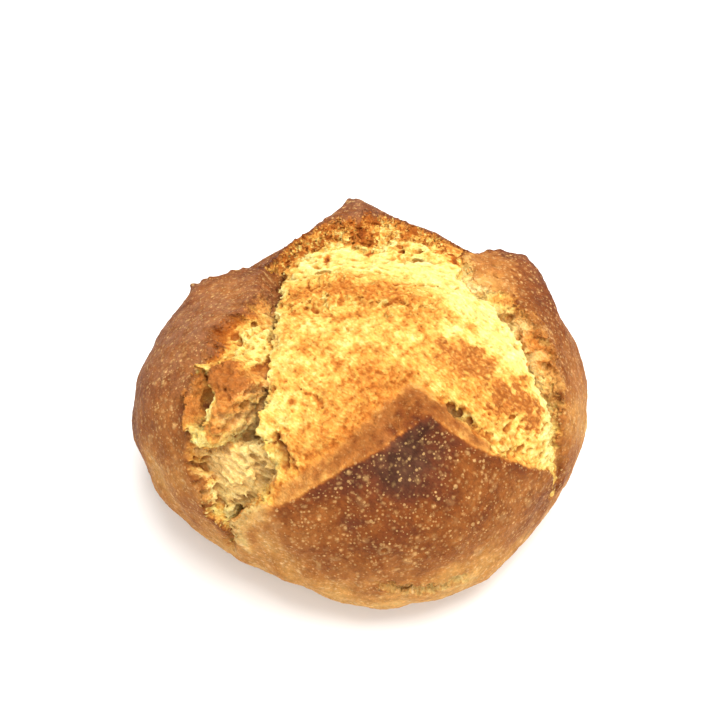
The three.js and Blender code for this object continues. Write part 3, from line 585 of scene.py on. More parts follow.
turned = smooth(MU + 0.25 * MV, 66, 92) * smooth(-MV, 52, 74)
upper = smooth(MV, 10, 60)
thread = (1 - upper) * ((1 - turned) * threads(-40, 6.5, 2.6, 71) + turned * threads(32, 6.5, 2.6, 72)) + upper * threads(-12, 7, 3.0, 73)
thread2 = (1 - upper) * ((1 - turned) * threads(-44, 3.4, 2.2, 74) + turned * threads(36, 3.4, 2.2, 75)) + upper * threads(-16, 3.4, 2.4, 76)
pull = crumbiness * (0.20 + 0.16 * smooth(cloud, -0.5, 1.2)) * (1 - 0.8 * np.exp(-((SIDE / 5.0) ** 2)) * smooth(LEAN, 0.1, 0.5))
mix(pull, region(BARE, 5), 0.75)
mix(pull, region([(46, -18), (62, -28), (82, -47), (80, -52), (60, -44), (40, -36)], 6), 0.14, 0.8)
mix(pull, region([(82, -56), (92, -51), (110, -58), (112, -69), (90, -70), (72, -60)], 6), 0.16, 0.8)
relief += pull * (0.75 * thread + 0.5 * thread2 - 0.9 * np.clip(thread - 1.1, 0, 2))
toast += crumbiness * (0.03 * thread + 0.03 * thread2)

grained = 0.03 + 0.15 * crumbiness  # mm of the crumb's finest roughness
mix(grained, region(BAND, 6, 0.4), 0.05)
mix(grained, region([(46, -18), (62, -28), (82, -47), (80, -52), (60, -44), (40, -36)], 5), 0.12, 0.8)
mix(grained, region([(82, -56), (92, -51), (110, -58), (112, -69), (90, -70), (72, -60)], 5), 0.12, 0.8)
grained *= 1 + 0.35 * np.clip(cloud2, -1.5, 1.5)

edged = np.clip(np.exp(-((SIDE / 6.0) ** 2)) * smooth(LEAN, 0.1, 0.6), 0, 1)  # 1 where torn edges stand up and brown
mix(edged, stroke(RIM, 8), 0.7)
mix(edged, region(CHUNK, 4), 0.6)

# ------------------------------------------------------------------ blisters on the crust
blister = np.zeros((N, N), np.float32)  # 1 on a blister
bump = np.zeros((N, N), np.float32)  # mm


def stamp(u, v, r, h, tone, ratio=1.0, angle=0.0, ring=0.0):
    """A blister: a low dome of radius r map units, h mm high, of paler tone; a ring is one that burst."""
    w = window([(u, v)], r * 1.7 + 1)
    x, y = MU[w] - u, MV[w] - v
    c, s = math.cos(angle), math.sin(angle)
    d = np.hypot((x * c + y * s) / ratio, (y * c - x * s) * ratio) / r
    dome = np.clip(1 - d * d, 0, 1)
    if ring:
        dome = np.exp(-(((d - 0.8) / 0.28) ** 2)) - 0.8 * np.exp(-((d / 0.45) ** 2))
    bump[w] = np.maximum(bump[w], h * dome) if not ring else bump[w] + h * dome
    soft = smooth(-d, -1.05, -0.55) if not ring else np.clip(dome, -1, 1)
    blister[w] = np.maximum(blister[w], tone * soft) if not ring else blister[w] + tone * dome


def map_scale(rho):
    """mm to map units: the map's own scale at that distance from its middle, near 100 mm of radius."""
    return 100.0 / 100.0 * (1 + (rho / 200.0) ** 2)


count = 9000
dirs = even_directions(40000)
pick = rng.permutation(len(dirs))[: count * 4]
d = dirs[pick] + rng.normal(0, 0.006, (len(pick), 3))
d /= np.linalg.norm(d, axis=1)[:, None]
d = d[d[:, 2] > -0.42][:count]
bu, bv = d[:, 0] * 200 / (1 + d[:, 2]), d[:, 1] * 200 / (1 + d[:, 2])
size = np.clip(rng.lognormal(-0.62, 0.36, len(bu)), 0.3, 1.8)  # radius, mm
tone = np.clip(rng.normal(0.62, 0.24, len(bu)), 0.1, 1)
turn = rng.uniform(0, math.pi, len(bu))
shape = rng.uniform(1.0, 1.35, len(bu))
ci = np.clip((bu / STEP + N // 2).astype(int), 0, N - 1)
cj = np.clip((bv / STEP + N // 2).astype(int), 0, N - 1)
on_crust = (SIDE[cj, ci] < -2.5) | ((crumbiness[cj, ci] < 0.2) & (rng.random(len(bu)) < 0.10))
for i in np.flatnonzero(on_crust):
    stamp(bu[i], bv[i], size[i] * map_scale(math.hypot(bu[i], bv[i])), 0.16 + 0.10 * size[i], tone[i], shape[i], turn[i])
# the large ones, and one that burst into a ring
for u, v, r, h, k in [
    (0, -132, 3.6, 0.5, 0.30), (54, -129, 3.0, 0.45, 0.4), (82, -116, 2.6, 0.4, 0.5), (-20, -178, 3.8, 0.5, 0.55),
    (-62, -172, 3.4, 0.5, 0.6), (10, -196, 3.6, 0.5, 0.6), (48, -152, 2.6, 0.4, 0.4), (60, -140, 2.4, 0.4, 0.4),
    (38, -156, 2.8, 0.4, 0.4), (3, -158, 2.6, 0.4, 0.5), (34, -176, 4.4, 0.6, 0.75), (-34, -190, 3.8, 0.5, 0.6),
    (186, -42, 8.5, 0.9, 0.9), (120, -124, 4.6, 0.5, 0.7), (-55, -146, 4.6, 0.5, 0.5), (-64, -140, 3, 0.4, 0.5),
    (98, -136, 4.4, 0.4, 0.6), (45, -105, 2.2, 0.3, 0.5), (3, -119, 2.0, 0.3, 0.9), (12, -108, 2.4, 0.3, 0.5),
    (-140, -72, 4, 0.4, 0.6), (-139, -95, 4.5, 0.4, 0.6), (-120, -92, 3.4, 0.3, 0.4), (-160, -40, 5, 0.4, 0.5),
    (92, -168, 6, 0.5, 0.7), (-6, -70, 2.6, 0.2, 0.3),
]:
    stamp(u, v, r, h, k * (0.9 if u > 150 or k > 0.8 else 0.62), rng.uniform(1, 1.3), rng.uniform(0, 3.1))
stamp(16, -165, 4.0, 0.7, 0.55, 1.12, 0.5, ring=1)
# pin holes
pits = np.zeros((N, N), np.float32)
for u, v, r, k in [(25, -77, 2.4, 2.2), (24, -74, 1.4, 1.2), (-5, -99, 2.2, 1.8), (33, -88, 1.6, 0.8), (185, -16, 1.5, 1), (-42, -75, 2.0, 1.2), (100, -111, 1.2, 0.8)]:
    pits += k * blob(u, v, r)
relief -= pits
toast += 0.12 * np.clip(pits, 0, 1)
blister *= (1 - burst * 0.8) * (1 - np.clip(scorch * 3.5, 0, 0.6))
bump *= 1 - burst * 0.8

# ------------------------------------------------------------------ solid noise
PERIOD = 128


def noise3(wavelength_mm, seed, slope, stretch=(1, 1, 1), ridged=False):
    """Periodic solid noise on the voxel lattice, spread 1."""
    r = np.random.default_rng(seed)
    n = PERIOD
    spec = np.fft.rfftn(r.standard_normal((n, n, n)).astype(np.float32))
    fz = np.fft.fftfreq(n, VOXEL)[:, None, None] * stretch[2]
    fy = np.fft.fftfreq(n, VOXEL)[None, :, None] * stretch[1]
    fx = np.fft.rfftfreq(n, VOXEL)[None, None, :] * stretch[0]
    f = np.sqrt(fx * fx + fy * fy + fz * fz)
    lo = 1 / wavelength_mm
    gain = (np.maximum(f, lo) / lo) ** -slope * (1 - np.exp(-((f / lo) ** 2)))
    out = np.fft.irfftn(spec * gain, s=(n, n, n))
    out /= out.std()
    if ridged:
        out = 1.0 - 1.6 * np.abs(out)
        out -= out.mean()
        out /= out.std()
    return out.astype(np.float32)


crumb_noise = 0.50 * noise3(6.0, 41, 1.8, (1.0, 1.0, 0.8)) + 0.5 * noise3(6.5, 42, 1.6, (1.5, 0.8, 1.0), ridged=True) + 0.45 * noise3(2.8, 43, 1.2)
crust_noise = 0.75 * noise3(14.0, 44, 2.4) + 0.5 * noise3(4.0, 45, 2.0)
fine_noise = 0.8 * noise3(3.4, 46, 1.0) + 0.6 * noise3(4.6, 47, 1.2, ridged=True)
fine_noise = np.clip(fine_noise, -2.5, 1.6)
stir_u, stir_v = noise3(4.5, 48, 1.0), noise3(4.5, 49, 1.0)
layer_noise = np.clip(noise3(4.2, 50, 1.3, (3.2, 1.4, 0.8)), -2, 2)  # thin layers lying flat, longest from side to side

# ------------------------------------------------------------------ the field
ZERO = np.array([-127.5, -120.0, -4.5])
SHAPE = (int(131 / VOXEL) + 1, int(241 / VOXEL) + 1, int(256 / VOXEL) + 1)  # z, y, x
gx = (ZERO[0] + np.arange(SHAPE[2]) * VOXEL).astype(np.float32)
gy = (ZERO[1] + np.arange(SHAPE[1]) * VOXEL).astype(np.float32)
gz = (ZERO[2] + np.arange(SHAPE[0]) * VOXEL).astype(np.float32)
field = np.empty(SHAPE, np.float32)

surface = relief + bump
ledged = (zone * 0.9).astype(np.float32)  # mm
# which way the lip leans: towards the burst
stirred = (0.12 + 0.55 * np.exp(-((SIDE / 7.0) ** 2)) * smooth(LEAN, 0.1, 0.6) + 0.22 * crumbiness).astype(np.float32)  # map units
gv, gu = np.gradient(SIDE, STEP)
gl = np.maximum(np.hypot(gu, gv), 1e-3)
lean = LEAN * np.exp(-((SIDE / 9.0) ** 2))
lean_u = (gu / gl * lean).astype(np.float32)
lean_v = (gv / gl * lean).astype(np.float32)


def cell(u, v):
    x = np.clip(u / STEP + N // 2, 0, N - 1.001)
    y = np.clip(v / STEP + N // 2, 0, N - 1.001)
    i, j = x.astype(np.int32), y.astype(np.int32)
    return j * N + i, x - i, y - j


def sample(table, at):
    k, fx, fy = at
    t = table.ravel()
    return (t[k] * (1 - fx) + t[k + 1] * fx) * (1 - fy) + (t[k + N] * (1 - fx) + t[k + N + 1] * fx) * fy


def fill(z0, z1):
    """The field on the slabs z0 to z1."""
    z, y, x = np.meshgrid(gz[z0:z1] - CENTRE, gy, gx, indexing="ij")
    r = np.sqrt(x * x + y * y + z * z) + 1e-6
    out = r - 140.0
    close = (r > 38) & (r < 150)
    x, y, z, r = x[close], y[close], z[close], r[close]
    d = (x / r, y / r, z / r)
    e = envelope(d)
    gap = r - e
    here = np.abs(gap) < 24
    value = gap.copy()
    x, y, z, r, e, gap = x[here], y[here], z[here], r[here], e[here], gap[here]
    k = 200.0 / np.maximum(1 + z / r, 0.25)
    u, v = x / r * k, y / r * k
    at = cell(u, v)
    lu, lv = sample(lean_u, at), sample(lean_v, at)
    high = np.clip(gap - sample(swell, at) + 2.5, 0, 5)
    stir = sample(stirred, at)
    iz, iy, ix = np.nonzero(close)
    iz, iy, ix = (iz[here] + z0) % PERIOD, iy[here] % PERIOD, ix[here] % PERIOD
    n = (iz * PERIOD + iy) * PERIOD + ix
    at = cell(u - lu * high + stir * stir_u.ravel()[n], v - lv * high + stir * stir_v.ravel()[n])
    s = gap - sample(surface, at)
    amount = sample(rough, at)
    torn = np.clip(amount * 1.6 - 0.25, 0, 1)
    s -= amount * (crumb_noise.ravel()[n] * torn + crust_noise.ravel()[n] * (1 - torn) * 1.2)
    s -= sample(grained, at) * fine_noise.ravel()[n] + sample(ledged, at) * layer_noise.ravel()[n]
    value[here] = s
    out[close] = value
    field[z0:z1] = out


for z0 in range(0, SHAPE[0], 12):
    fill(z0, min(z0 + 12, SHAPE[0]))

# ------------------------------------------------------------------ holes in the crumb
hole_map = np.zeros((N, N), np.float32)


def surface_point(u, v, depth):
    """The place `depth` mm under the relief at map places u, v."""
    rho2 = (u * u + v * v) / 40000.0
    z = (1 - rho2) / (1 + rho2)
    s = np.sqrt(np.maximum(1 - z * z, 0)) / np.maximum(np.hypot(u, v), 1e-6)
    d = np.stack([u * s, v * s, z], -1)
    e = envelope((d[:, 0], d[:, 1], d[:, 2])) + sample(surface, cell(u, v)) - depth
    return d, d * e[:, None] + np.array([0, 0, CENTRE])


def scatter(outline, number, radius, spread, long, heading, wobble, seed, sink=0.2):
    """Ellipsoid holes over an outline. radius: mean, mm. long: how many times longer along heading (degrees on the map)."""
    r = np.random.default_rng(seed)
    p = np.asarray(outline, float)[:, :2]
    lo, hi = p.min(0), p.max(0)
    q = r.uniform(lo, hi, (number * 6, 2))
    q = q[inside(q[:, 0], q[:, 1], p)][:number]
    rad = np.clip(radius * np.exp(r.normal(0, spread, len(q))), 0.45, 6.0)
    depth = rad * r.uniform(-0.25, 0.55, len(q)) + sink
    d, c = surface_point(q[:, 0], q[:, 1], depth)
    a = np.radians(heading + r.normal(0, wobble, len(q)))
    east = np.stack([np.cos(a), np.sin(a), np.zeros(len(a))], -1)
    east -= d * (east * d).sum(1)[:, None]
    east /= np.linalg.norm(east, axis=1)[:, None]
    return c, east, rad, 1 + (long - 1) * r.uniform(0.3, 1.2, len(q))


def carve(c, along, rad, stretch):
    """Takes ellipsoids out of the field. Each is stretched along its own direction."""
    for k in range(len(c)):
        reach = rad[k] * max(stretch[k], 1) + 2 * VOXEL
        lo = np.maximum(((c[k] - reach - ZERO) / VOXEL).astype(int), 0)
        hi = np.minimum(((c[k] + reach - ZERO) / VOXEL).astype(int) + 2, SHAPE[::-1])
        if (hi <= lo).any():
            continue
        x = gx[lo[0] : hi[0]][None, None] - c[k][0]
        y = gy[lo[1] : hi[1]][None, :, None] - c[k][1]
        z = gz[lo[2] : hi[2]][:, None, None] - c[k][2]
        t = x * along[k][0] + y * along[k][1] + z * along[k][2]
        q = np.sqrt(np.maximum(x * x + y * y + z * z - t * t * (1 - 1 / stretch[k] ** 2), 0))
        box = field[lo[2] : hi[2], lo[1] : hi[1], lo[0] : hi[0]]
        np.maximum(box, rad[k] - q, out=box)


GRAIN = 1.0
for outline, number, radius, spread, long, heading, wobble, seed, sink in [
    (BARE, 760, 0.82, 0.36, 3.4, -35, 14, 51, 0.25),
    (TEAR_R, 150, 0.8, 0.45, 1.8, -58, 25, 52, 0.1),
    (STRIP, 70, 1.5, 0.35, 2.2, -64, 18, 67, 0.6),
    (HOLLOW, 90, 0.9, 0.4, 1.6, -60, 40, 53, 0.1),
    (CHUNK, 110, 0.9, 0.4, 1.7, -50, 40, 54, 0.1),
    (POCKET, 50, 1.5, 0.4, 1.5, -80, 40, 55, 0.4),
    ([(-72, 62), (-60, 60), (-58, -30), (-72, -20)], 150, 1.3, 0.4, 1.6, 90, 35, 56, 0.5),
    ([(-86, -96), (-56, -56), (-52, -66), (-72, -98)], 120, 1.3, 0.4, 1.5, 50, 35, 57, 0.4),
    ([(-64, 60), (-30, 62), (10, 56), (60, 46), (70, 60), (60, 76), (10, 84), (-30, 88), (-64, 74)], 150, 0.9, 0.4, 3.6, 2, 18, 58, 0.1),
    ([(-50, 34), (14, 28), (60, 6), (70, 30), (40, 46), (10, 56), (-50, 56)], 70, 0.7, 0.35, 3.0, 150, 30, 59, -0.1),
    ([(-56, 26), (20, 16), (60, -10), (100, -40), (120, -62), (90, -70), (60, -60), (28, -56), (0, -72), (-30, -96), (-50, -100), (-56, -60)], 80, 0.5, 0.4, 3.2, -40, 30, 60, -0.15),
    ([(50, -72), (76, -70), (110, -70), (134, -70), (150, -94), (134, -98), (100, -96), (80, -96), (66, -86)], 170, 0.6, 0.45, 2.6, 32, 25, 61, 0.0),
    (HOLE, 40, 2.0, 0.3, 1.4, -40, 30, 62, 1.0),
    ([(-104, 100), (-84, 86), (-70, 66), (-78, 64), (-96, 84)], 60, 1.0, 0.4, 1.8, 135, 25, 63, 0.2),
    ([(104, 94), (90, 80), (76, 60), (84, 64), (100, 84)], 60, 1.0, 0.4, 1.8, 45, 25, 64, 0.2),
    ([(14, -206), (34, -211), (60, -213), (80, -201), (100, -203), (80, -207), (60, -219), (34, -217)], 36, 0.7, 0.4, 3.0, 0, 20, 65, 0.1),
    ([(134, -72), (152, -90), (172, -110), (160, -104), (140, -84)], 70, 0.9, 0.4, 2.0, -40, 25, 66, 0.1),
]:
    carve(*scatter(outline, int(number * GRAIN), radius, spread, long, heading, wobble, seed, sink))

# a few single openings of their own
for u, v, r, long, heading, depth in [
    (99, 3, 2.6, 1.3, 0, 0.5), (61, -78, 2.4, 2.2, -30, 0.6), (68, -82, 1.6, 1.6, -30, 0.4), (44, 45, 2.4, 2.4, -15, 0.8),
    (-1, 62, 1.8, 2.4, -15, 0.6), (70, 30, 1.8, 2.4, 85, 0.8), (126, -61, 3.0, 1.6, 60, 1.2), (-105, -65, 1.7, 1.8, 75, 0.6),
    (-92, -74, 2.2, 1.6, 80, 0.8), (-87, -53, 2.0, 1.8, 60, 0.7), (-91, -61, 1.3, 1.4, 80, 0.4), (-65, 10, 2.6, 2.4, 90, 1.2), (-64, -12, 2.8, 2.2, 95, 1.2),
    (-66, -78, 3.0, 2.0, 60, 1.2), (-79, -93, 2.6, 1.8, 30, 1.0), (-104, -150, 4.2, 1.7, -35, 1.8), (-60, 30, 2, 1.5, 80, 1),
    (87, 43, 1.3, 1.3, 90, 0.2), (88, 33, 1.4, 1.4, 0, 0.2), (112, -42, 2.4, 1.6, -50, 0.8), (92, -8, 1.5, 1.8, -60, 0.6), (97, -19, 1.7, 2.0, -65, 0.7), (102, -29, 1.6, 2.0, -60, 0.7), (108, -36, 1.7, 1.8, -55, 0.7), (117, -52, 1.9, 2.2, -60, 0.8), (22, 66, 1.2, 2.4, 10, 0.3), (48, 72, 1.2, 2.4, -20, 0.3),
]:
    d, c = surface_point(np.array([float(u)]), np.array([float(v)]), depth)
    a = math.radians(heading)
    e = np.array([[math.cos(a), math.sin(a), 0.0]])
    e -= d * (e * d).sum(1)[:, None]
    e /= np.linalg.norm(e)
    carve(c, e, np.array([r]), np.array([float(long)]))

# ------------------------------------------------------------------ the flat sole
sole = (-gz[:, None, None]) + 0.0
k = 2.0
h = np.clip(0.5 + 0.5 * (field - sole) / k, 0, 1)
field[:] = field * h + sole * (1 - h) + k * h * (1 - h)
del h


# ------------------------------------------------------------------ meshing the zero level
def surface_net(f):
    """Vertices (grid units, x y z) and quads of the zero level: one vertex in each cell that it crosses."""
    s = f < 0
    nz, ny, nx = f.shape
    mixed = np.zeros((nz - 1, ny - 1, nx - 1), bool)
    first = s[:-1, :-1, :-1]
    for dz in (0, 1):
        for dy in (0, 1):
            for dx in (0, 1):
                mixed |= s[dz : nz - 1 + dz, dy : ny - 1 + dy, dx : nx - 1 + dx] != first
    cz, cy, cx = np.nonzero(mixed)
    index = np.full(mixed.shape, -1, np.int32)
    index[cz, cy, cx] = np.arange(len(cz))
    total = np.zeros((len(cz), 3))
    count = np.zeros(len(cz))
    corner = [(0, 0, 0), (0, 0, 1), (0, 1, 0), (0, 1, 1), (1, 0, 0), (1, 0, 1), (1, 1, 0), (1, 1, 1)]
    val = {c: f[cz + c[0], cy + c[1], cx + c[2]] for c in corner}
    for a in corner:
        for k in range(3):
            if a[k]:
                continue
            b = tuple(a[i] + (i == k) for i in range(3))
            va, vb = val[a], val[b]
            m = (va < 0) != (vb < 0)
            t = np.where(m, va / np.where(m, va - vb, 1), 0)
            for i in range(3):
                total[:, i] += m * (a[i] + (t if i == k else 0))
            count += m
    p = total / count[:, None]
    verts = np.stack([cx + p[:, 2], cy + p[:, 1], cz + p[:, 0]], -1)
    quads = []
    for k in range(3):
        a = [slice(None)] * 3
        b = [slice(None)] * 3
        a[k], b[k] = slice(0, -1), slice(1, None)
        lo, hi = s[tuple(a)], s[tuple(b)]
        e = np.argwhere(lo != hi)
        o1, o2 = [(1, 2), (2, 0), (0, 1)][k]
        ok = (e[:, o1] > 0) & (e[:, o2] > 0)
        e = e[ok]
        out = lo[tuple(e.T)]
        ring = []
        for d1, d2 in ((0, 0), (-1, 0), (-1, -1), (0, -1)):
            q = e.copy()
            q[:, o1] += d1
            q[:, o2] += d2
            ring.append(index[tuple(q.T)])
        ring = np.stack(ring, -1)
        ring[out] = ring[out][:, ::-1]
        quads.append(ring)
    return verts, np.concatenate(quads)


def biggest_piece(verts, quads):
    """Drops crumbs of surface that aren't joined to the loaf: only the largest connected piece stays."""
    label = np.arange(len(verts))
    while True:
        low = label[quads].min(1)
        new = label.copy()
        np.minimum.at(new, quads.ravel(), np.repeat(low, 4))
        new = new[new]
        if (new == label).all():
            break
        label = new
    names, inverse, counts = np.unique(label, return_inverse=True, return_counts=True)
    keep = inverse == counts.argmax()
    where = np.cumsum(keep) - 1
    q = quads[keep[quads].all(1)]
    return verts[keep], where[q]


verts, quads = surface_net(field)
verts, quads = biggest_piece(verts, quads)
P = ZERO + verts * VOXEL  # mm
print("net:", len(P), "vertices", len(quads), "quads")


# ------------------------------------------------------------------ how open each place is
def blurred(f, sigma_mm):
    """Share of loaf within about sigma of each cell of a half-size grid."""
    occ = np.clip(0.5 - f[::2, ::2, ::2] / (2 * VOXEL), 0, 1).astype(np.float32)
    pad = [int(3 * sigma_mm / (2 * VOXEL)) + 1] * 3
    big = np.pad(occ, [(p, p) for p in pad])
    spec = np.fft.rfftn(big)
    fz = np.fft.fftfreq(big.shape[0], 2 * VOXEL)[:, None, None]
    fy = np.fft.fftfreq(big.shape[1], 2 * VOXEL)[None, :, None]
    fx = np.fft.rfftfreq(big.shape[2], 2 * VOXEL)[None, None, :]
    spec *= np.exp(-2 * (math.pi * sigma_mm) ** 2 * (fz * fz + fy * fy + fx * fx))
    out = np.fft.irfftn(spec, s=big.shape)
    return out[pad[0] : -pad[0], pad[1] : -pad[1], pad[2] : -pad[2]].astype(np.float32)


def at_points(grid, verts):
    q = np.clip(verts[:, ::-1] / 2, 0, np.array(grid.shape) - 1.001)
    i = q.astype(int)
    t = q - i
    out = 0
    for a in (0, 1):
        for b in (0, 1):
            for c in (0, 1):
                w = (t[:, 0] if a else 1 - t[:, 0]) * (t[:, 1] if b else 1 - t[:, 1]) * (t[:, 2] if c else 1 - t[:, 2])
                out = out + w * grid[i[:, 0] + a, i[:, 1] + b, i[:, 2] + c]
    return out


tiny_in = at_points(blurred(field, 0.9), verts)
close_in = at_points(blurred(field, 1.6), verts)  # above 0.5 in hollows, below on edges
wide_in = at_points(blurred(field, 5.0), verts)

rel = P - np.array([0, 0, CENTRE])
r = np.linalg.norm(rel, axis=1)
d = (rel / r[:, None]).T
k = 200.0 / np.maximum(1 + d[2], 0.25)
u, v = d[0] * k, d[1] * k
gap = r - envelope(d)
at = cell(u, v)
high = np.clip(gap - sample(swell, at) + 2.5, 0, 5)
n3 = (np.round(verts[:, 2]).astype(int) % PERIOD * PERIOD + np.round(verts[:, 1]).astype(int) % PERIOD) * PERIOD + np.round(verts[:, 0]).astype(int) % PERIOD
stir = sample(stirred, at)
at = cell(u - sample(lean_u, at) * high + stir * stir_u.ravel()[n3], v - sample(lean_v, at) * high + stir * stir_v.ravel()[n3])
on_map = 1 - smooth(-d[2], 0.38, 0.46)

T = sample(toast, at)
B = sample(burst, at)
RAW = sample(raw, at)
BL = sample(blister, at) * on_map
C = sample(crumbiness, at)
cn = crumb_noise.ravel()[n3]
kn = crust_noise.ravel()[n3]
fn = fine_noise.ravel()[n3]
# torn edges toast and their hollows stay pale; on the rest of the crumb, hollows are toasted darker as painted shade
rimmed = sample(edged, at)
T = T + C * rimmed * (np.clip((0.5 - close_in) * 0.8, -0.16, 0.12) + 0.012 * cn + np.clip((0.47 - wide_in) * 0.5, -0.10, 0.07))
T = T + C * (1 - rimmed) * (np.clip((tiny_in - 0.5) * 0.5, -0.05, 0.07) + np.clip((close_in - 0.5) * 0.7, -0.06, 0.10))
T = T + sample(ledged, at) * (0.10 * layer_noise.ravel()[n3])
T = np.where(C > 0.5, np.minimum(T, 0.66 + 0.25 * (T - 0.66)), T)
T = T + C * (-0.012 * fn)
T = T + (1 - C) * (0.02 * kn + np.clip((0.5 - close_in) * 0.5, -0.1, 0.12))
RAW = np.clip(RAW + C * np.clip((wide_in - 0.66) * 3.0, 0, 0.5), 0, 1)
# below the belly: paler, floury
low = smooth(-d[2], 0.20, 0.50)
T = T - low * 0.06 * (1 - B)
under = smooth(-P[:, 2], -3.0, -0.6)

# ------------------------------------------------------------------ colour
CRUST = np.array([  # toast, sRGB
    [0.00, 228, 208, 146],
    [0.20, 218, 182, 110],
    [0.35, 206, 154, 84],
    [0.48, 187, 128, 62],
    [0.60, 164, 102, 47],
    [0.70, 144, 84, 36],
    [0.80, 123, 64, 24],
    [0.90, 102, 50, 25],
    [1.00, 82, 41, 24],
    [1.15, 60, 31, 20],
])
CRUMB = np.array([
    [0.00, 234, 221, 148],
    [0.12, 230, 207, 124],
    [0.25, 222, 183, 94],
    [0.38, 211, 151, 70],
    [0.50, 194, 122, 52],
    [0.62, 172, 99, 36],
    [0.74, 146, 76, 28],
    [0.86, 116, 56, 24],
    [1.00, 84, 40, 20],
    [1.15, 58, 28, 16],
])


def linear(c):
    c = np.asarray(c, float) / 255.0
    return np.where(c <= 0.04045, c / 12.92, ((c + 0.055) / 1.055) ** 2.4)


def ramp(table, t):
    lin = linear(table[:, 1:])
    return np.stack([np.interp(t, table[:, 0], lin[:, i]) for i in range(3)], -1)


CB = np.clip(C, 0, 1)[:, None]
colour = ramp(CRUST, T) * (1 - CB) + ramp(CRUMB, T) * CB
dusty = sample(dust, at)[:, None] * (1 - CB)
colour = colour + (linear([158, 108, 76]) - colour) * dusty
bare = linear([240, 208, 138]) * (1 + 0.06 * cn[:, None])
colour = colour + (bare - colour) * (RAW * 0.85)[:, None]
# painted shade: recesses darkened to grey-brown, the deepest nearly to black
PAINTED_SHADE = sample(painted_shade, at)
colour = colour + (linear([112, 84, 50]) - colour) * (np.clip(PAINTED_SHADE, 0, 1) * 0.8)[:, None]
colour = colour + (linear([66, 34, 16]) - colour) * (np.clip(PAINTED_SHADE * 5 - 4, 0, 1) * 0.85)[:, None]
# painted shade: crumb darkened in its hollows, found from how enclosed each place is, more where the crumb lies bare
hollow_shade = np.clip(((close_in - 0.53) * 1.5 + (tiny_in - 0.53) * 1.0) * (1 + 0.25 * RAW), 0, 0.45) * C
colour *= 1 - hollow_shade[:, None] * np.array([0.75, 0.95, 1.1])
light = smooth(-T, -0.66, -0.42)[:, None]
pale = linear([216, 170, 106]) * (1 - light) + linear([240, 208, 150]) * light
colour = colour + (pale - colour) * (np.clip(BL, 0, 1) * 0.64)[:, None]
colour *= (1 - 0.35 * np.clip(-BL, 0, 1))[:, None]
flour = linear([226, 196, 150])
floury = (under * (0.35 + 0.25 * np.clip(kn, -1, 1)) + low * 0.10)[:, None]
colour = colour + (flour - colour) * np.clip(floury, 0, 1)
colour = np.clip(colour, 0.004, 0.95)
gloss = np.clip(0.62 + 0.25 * C + 0.05 * kn - 0.10 * smooth(T, 0.8, 1.0) * (1 - C), 0.3, 1)

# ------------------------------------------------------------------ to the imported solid's size
lo, hi = P.min(0), P.max(0)
box_lo, box_hi = [np.array(x, float) * 1000 for x in cad_box]
scale = (box_hi - box_lo) / (hi - lo)
print("scale to the solid:", scale.round(4))
P = (P - lo) * scale + box_lo

mesh = bpy.data.meshes.new("sourdough_loaf")
mesh.vertices.add(len(P))
mesh.vertices.foreach_set("co", (P / 1000).astype(np.float32).ravel())
mesh.loops.add(quads.size)
mesh.loops.foreach_set("vertex_index", quads.ravel().astype(np.int32))
mesh.polygons.add(len(quads))
mesh.polygons.foreach_set("loop_start", np.arange(0, quads.size, 4, dtype=np.int32))
mesh.polygons.foreach_set("use_smooth", np.ones(len(quads), bool))
mesh.update(calc_edges=True)
mesh.validate()


def attribute(name, values, kind="FLOAT"):
    a = mesh.attributes.new(name, kind, "POINT")
    if kind == "FLOAT":
        a.data.foreach_set("value", np.asarray(values, np.float32))
    else:
        rgba = np.concatenate([values, np.ones((len(values), 1))], 1)
        a.data.foreach_set("color", rgba.astype(np.float32).ravel())


attribute("bake_and_shade", colour, "FLOAT_COLOR")
attribute("gloss", gloss)
attribute("crumb", np.clip(np.maximum(C, 0.6 * sample(smooth_band, at)), 0, 1))
attribute("turned", sample(turned, at) * (1 - sample(upper, at)))
attribute("upper", sample(upper, at))
weave = mesh.attributes.new("weave", "FLOAT_VECTOR", "POINT")
weave.data.foreach_set("vector", np.stack([u, v, gap * 1.5], -1).astype(np.float32).ravel())

# one flat map of the whole skin: an eight-sided unfolding of the direction from the centre
uv = mesh.uv_layers.new(name="OFBake")
ids = np.empty(len(mesh.loops), np.int32)
mesh.loops.foreach_get("vertex_index", ids)
dd = (P - np.array([0, 0, CENTRE]))
dd /= np.linalg.norm(dd, axis=1)[:, None]
ld = dd[ids].reshape(-1, 4, 3)
face_low = ld[:, :, 2].mean(1) < 0
mid = ld.mean(1)
rr = np.sqrt(np.clip(1 - np.abs(ld[..., 2]), 0, 1))
sx = np.where(mid[:, None, 0] >= 0, 1.0, -1.0)
sy = np.where(mid[:, None, 1] >= 0, 1.0, -1.0)
phi = 2 / math.pi * np.arctan2(np.maximum(ld[..., 1] * sy, 0), np.maximum(ld[..., 0] * sx, 1e-9))
b = phi * rr
a = rr - b
flip = face_low[:, None]
a, b = np.where(flip, 1 - b, a), np.where(flip, 1 - a, b)
uu = 0.5 + 0.49 * a * sx
vv = 0.5 + 0.49 * b * sy
uv.data.foreach_set("uv", np.stack([uu, vv], -1).astype(np.float32).ravel())

loaf = bpy.data.objects.new("sourdough_loaf", mesh)
bpy.context.collection.objects.link(loaf)

# ------------------------------------------------------------------ the skin's material
mat = bpy.data.materials.new("baked_crust")
mat.use_nodes = True
nt = mat.node_tree
nodes, links = nt.nodes, nt.links
bsdf = nodes["Principled BSDF"]
bsdf.inputs["Specular IOR Level"].default_value = 0.09
bsdf.inputs["Metallic"].default_value = 0.0


def node(kind, **set_):
    n = nodes.new(kind)
    for k_, v_ in set_.items():
        if k_ in n.inputs:
            n.inputs[k_].default_value = v_
        else:
            setattr(n, k_, v_)
    return n


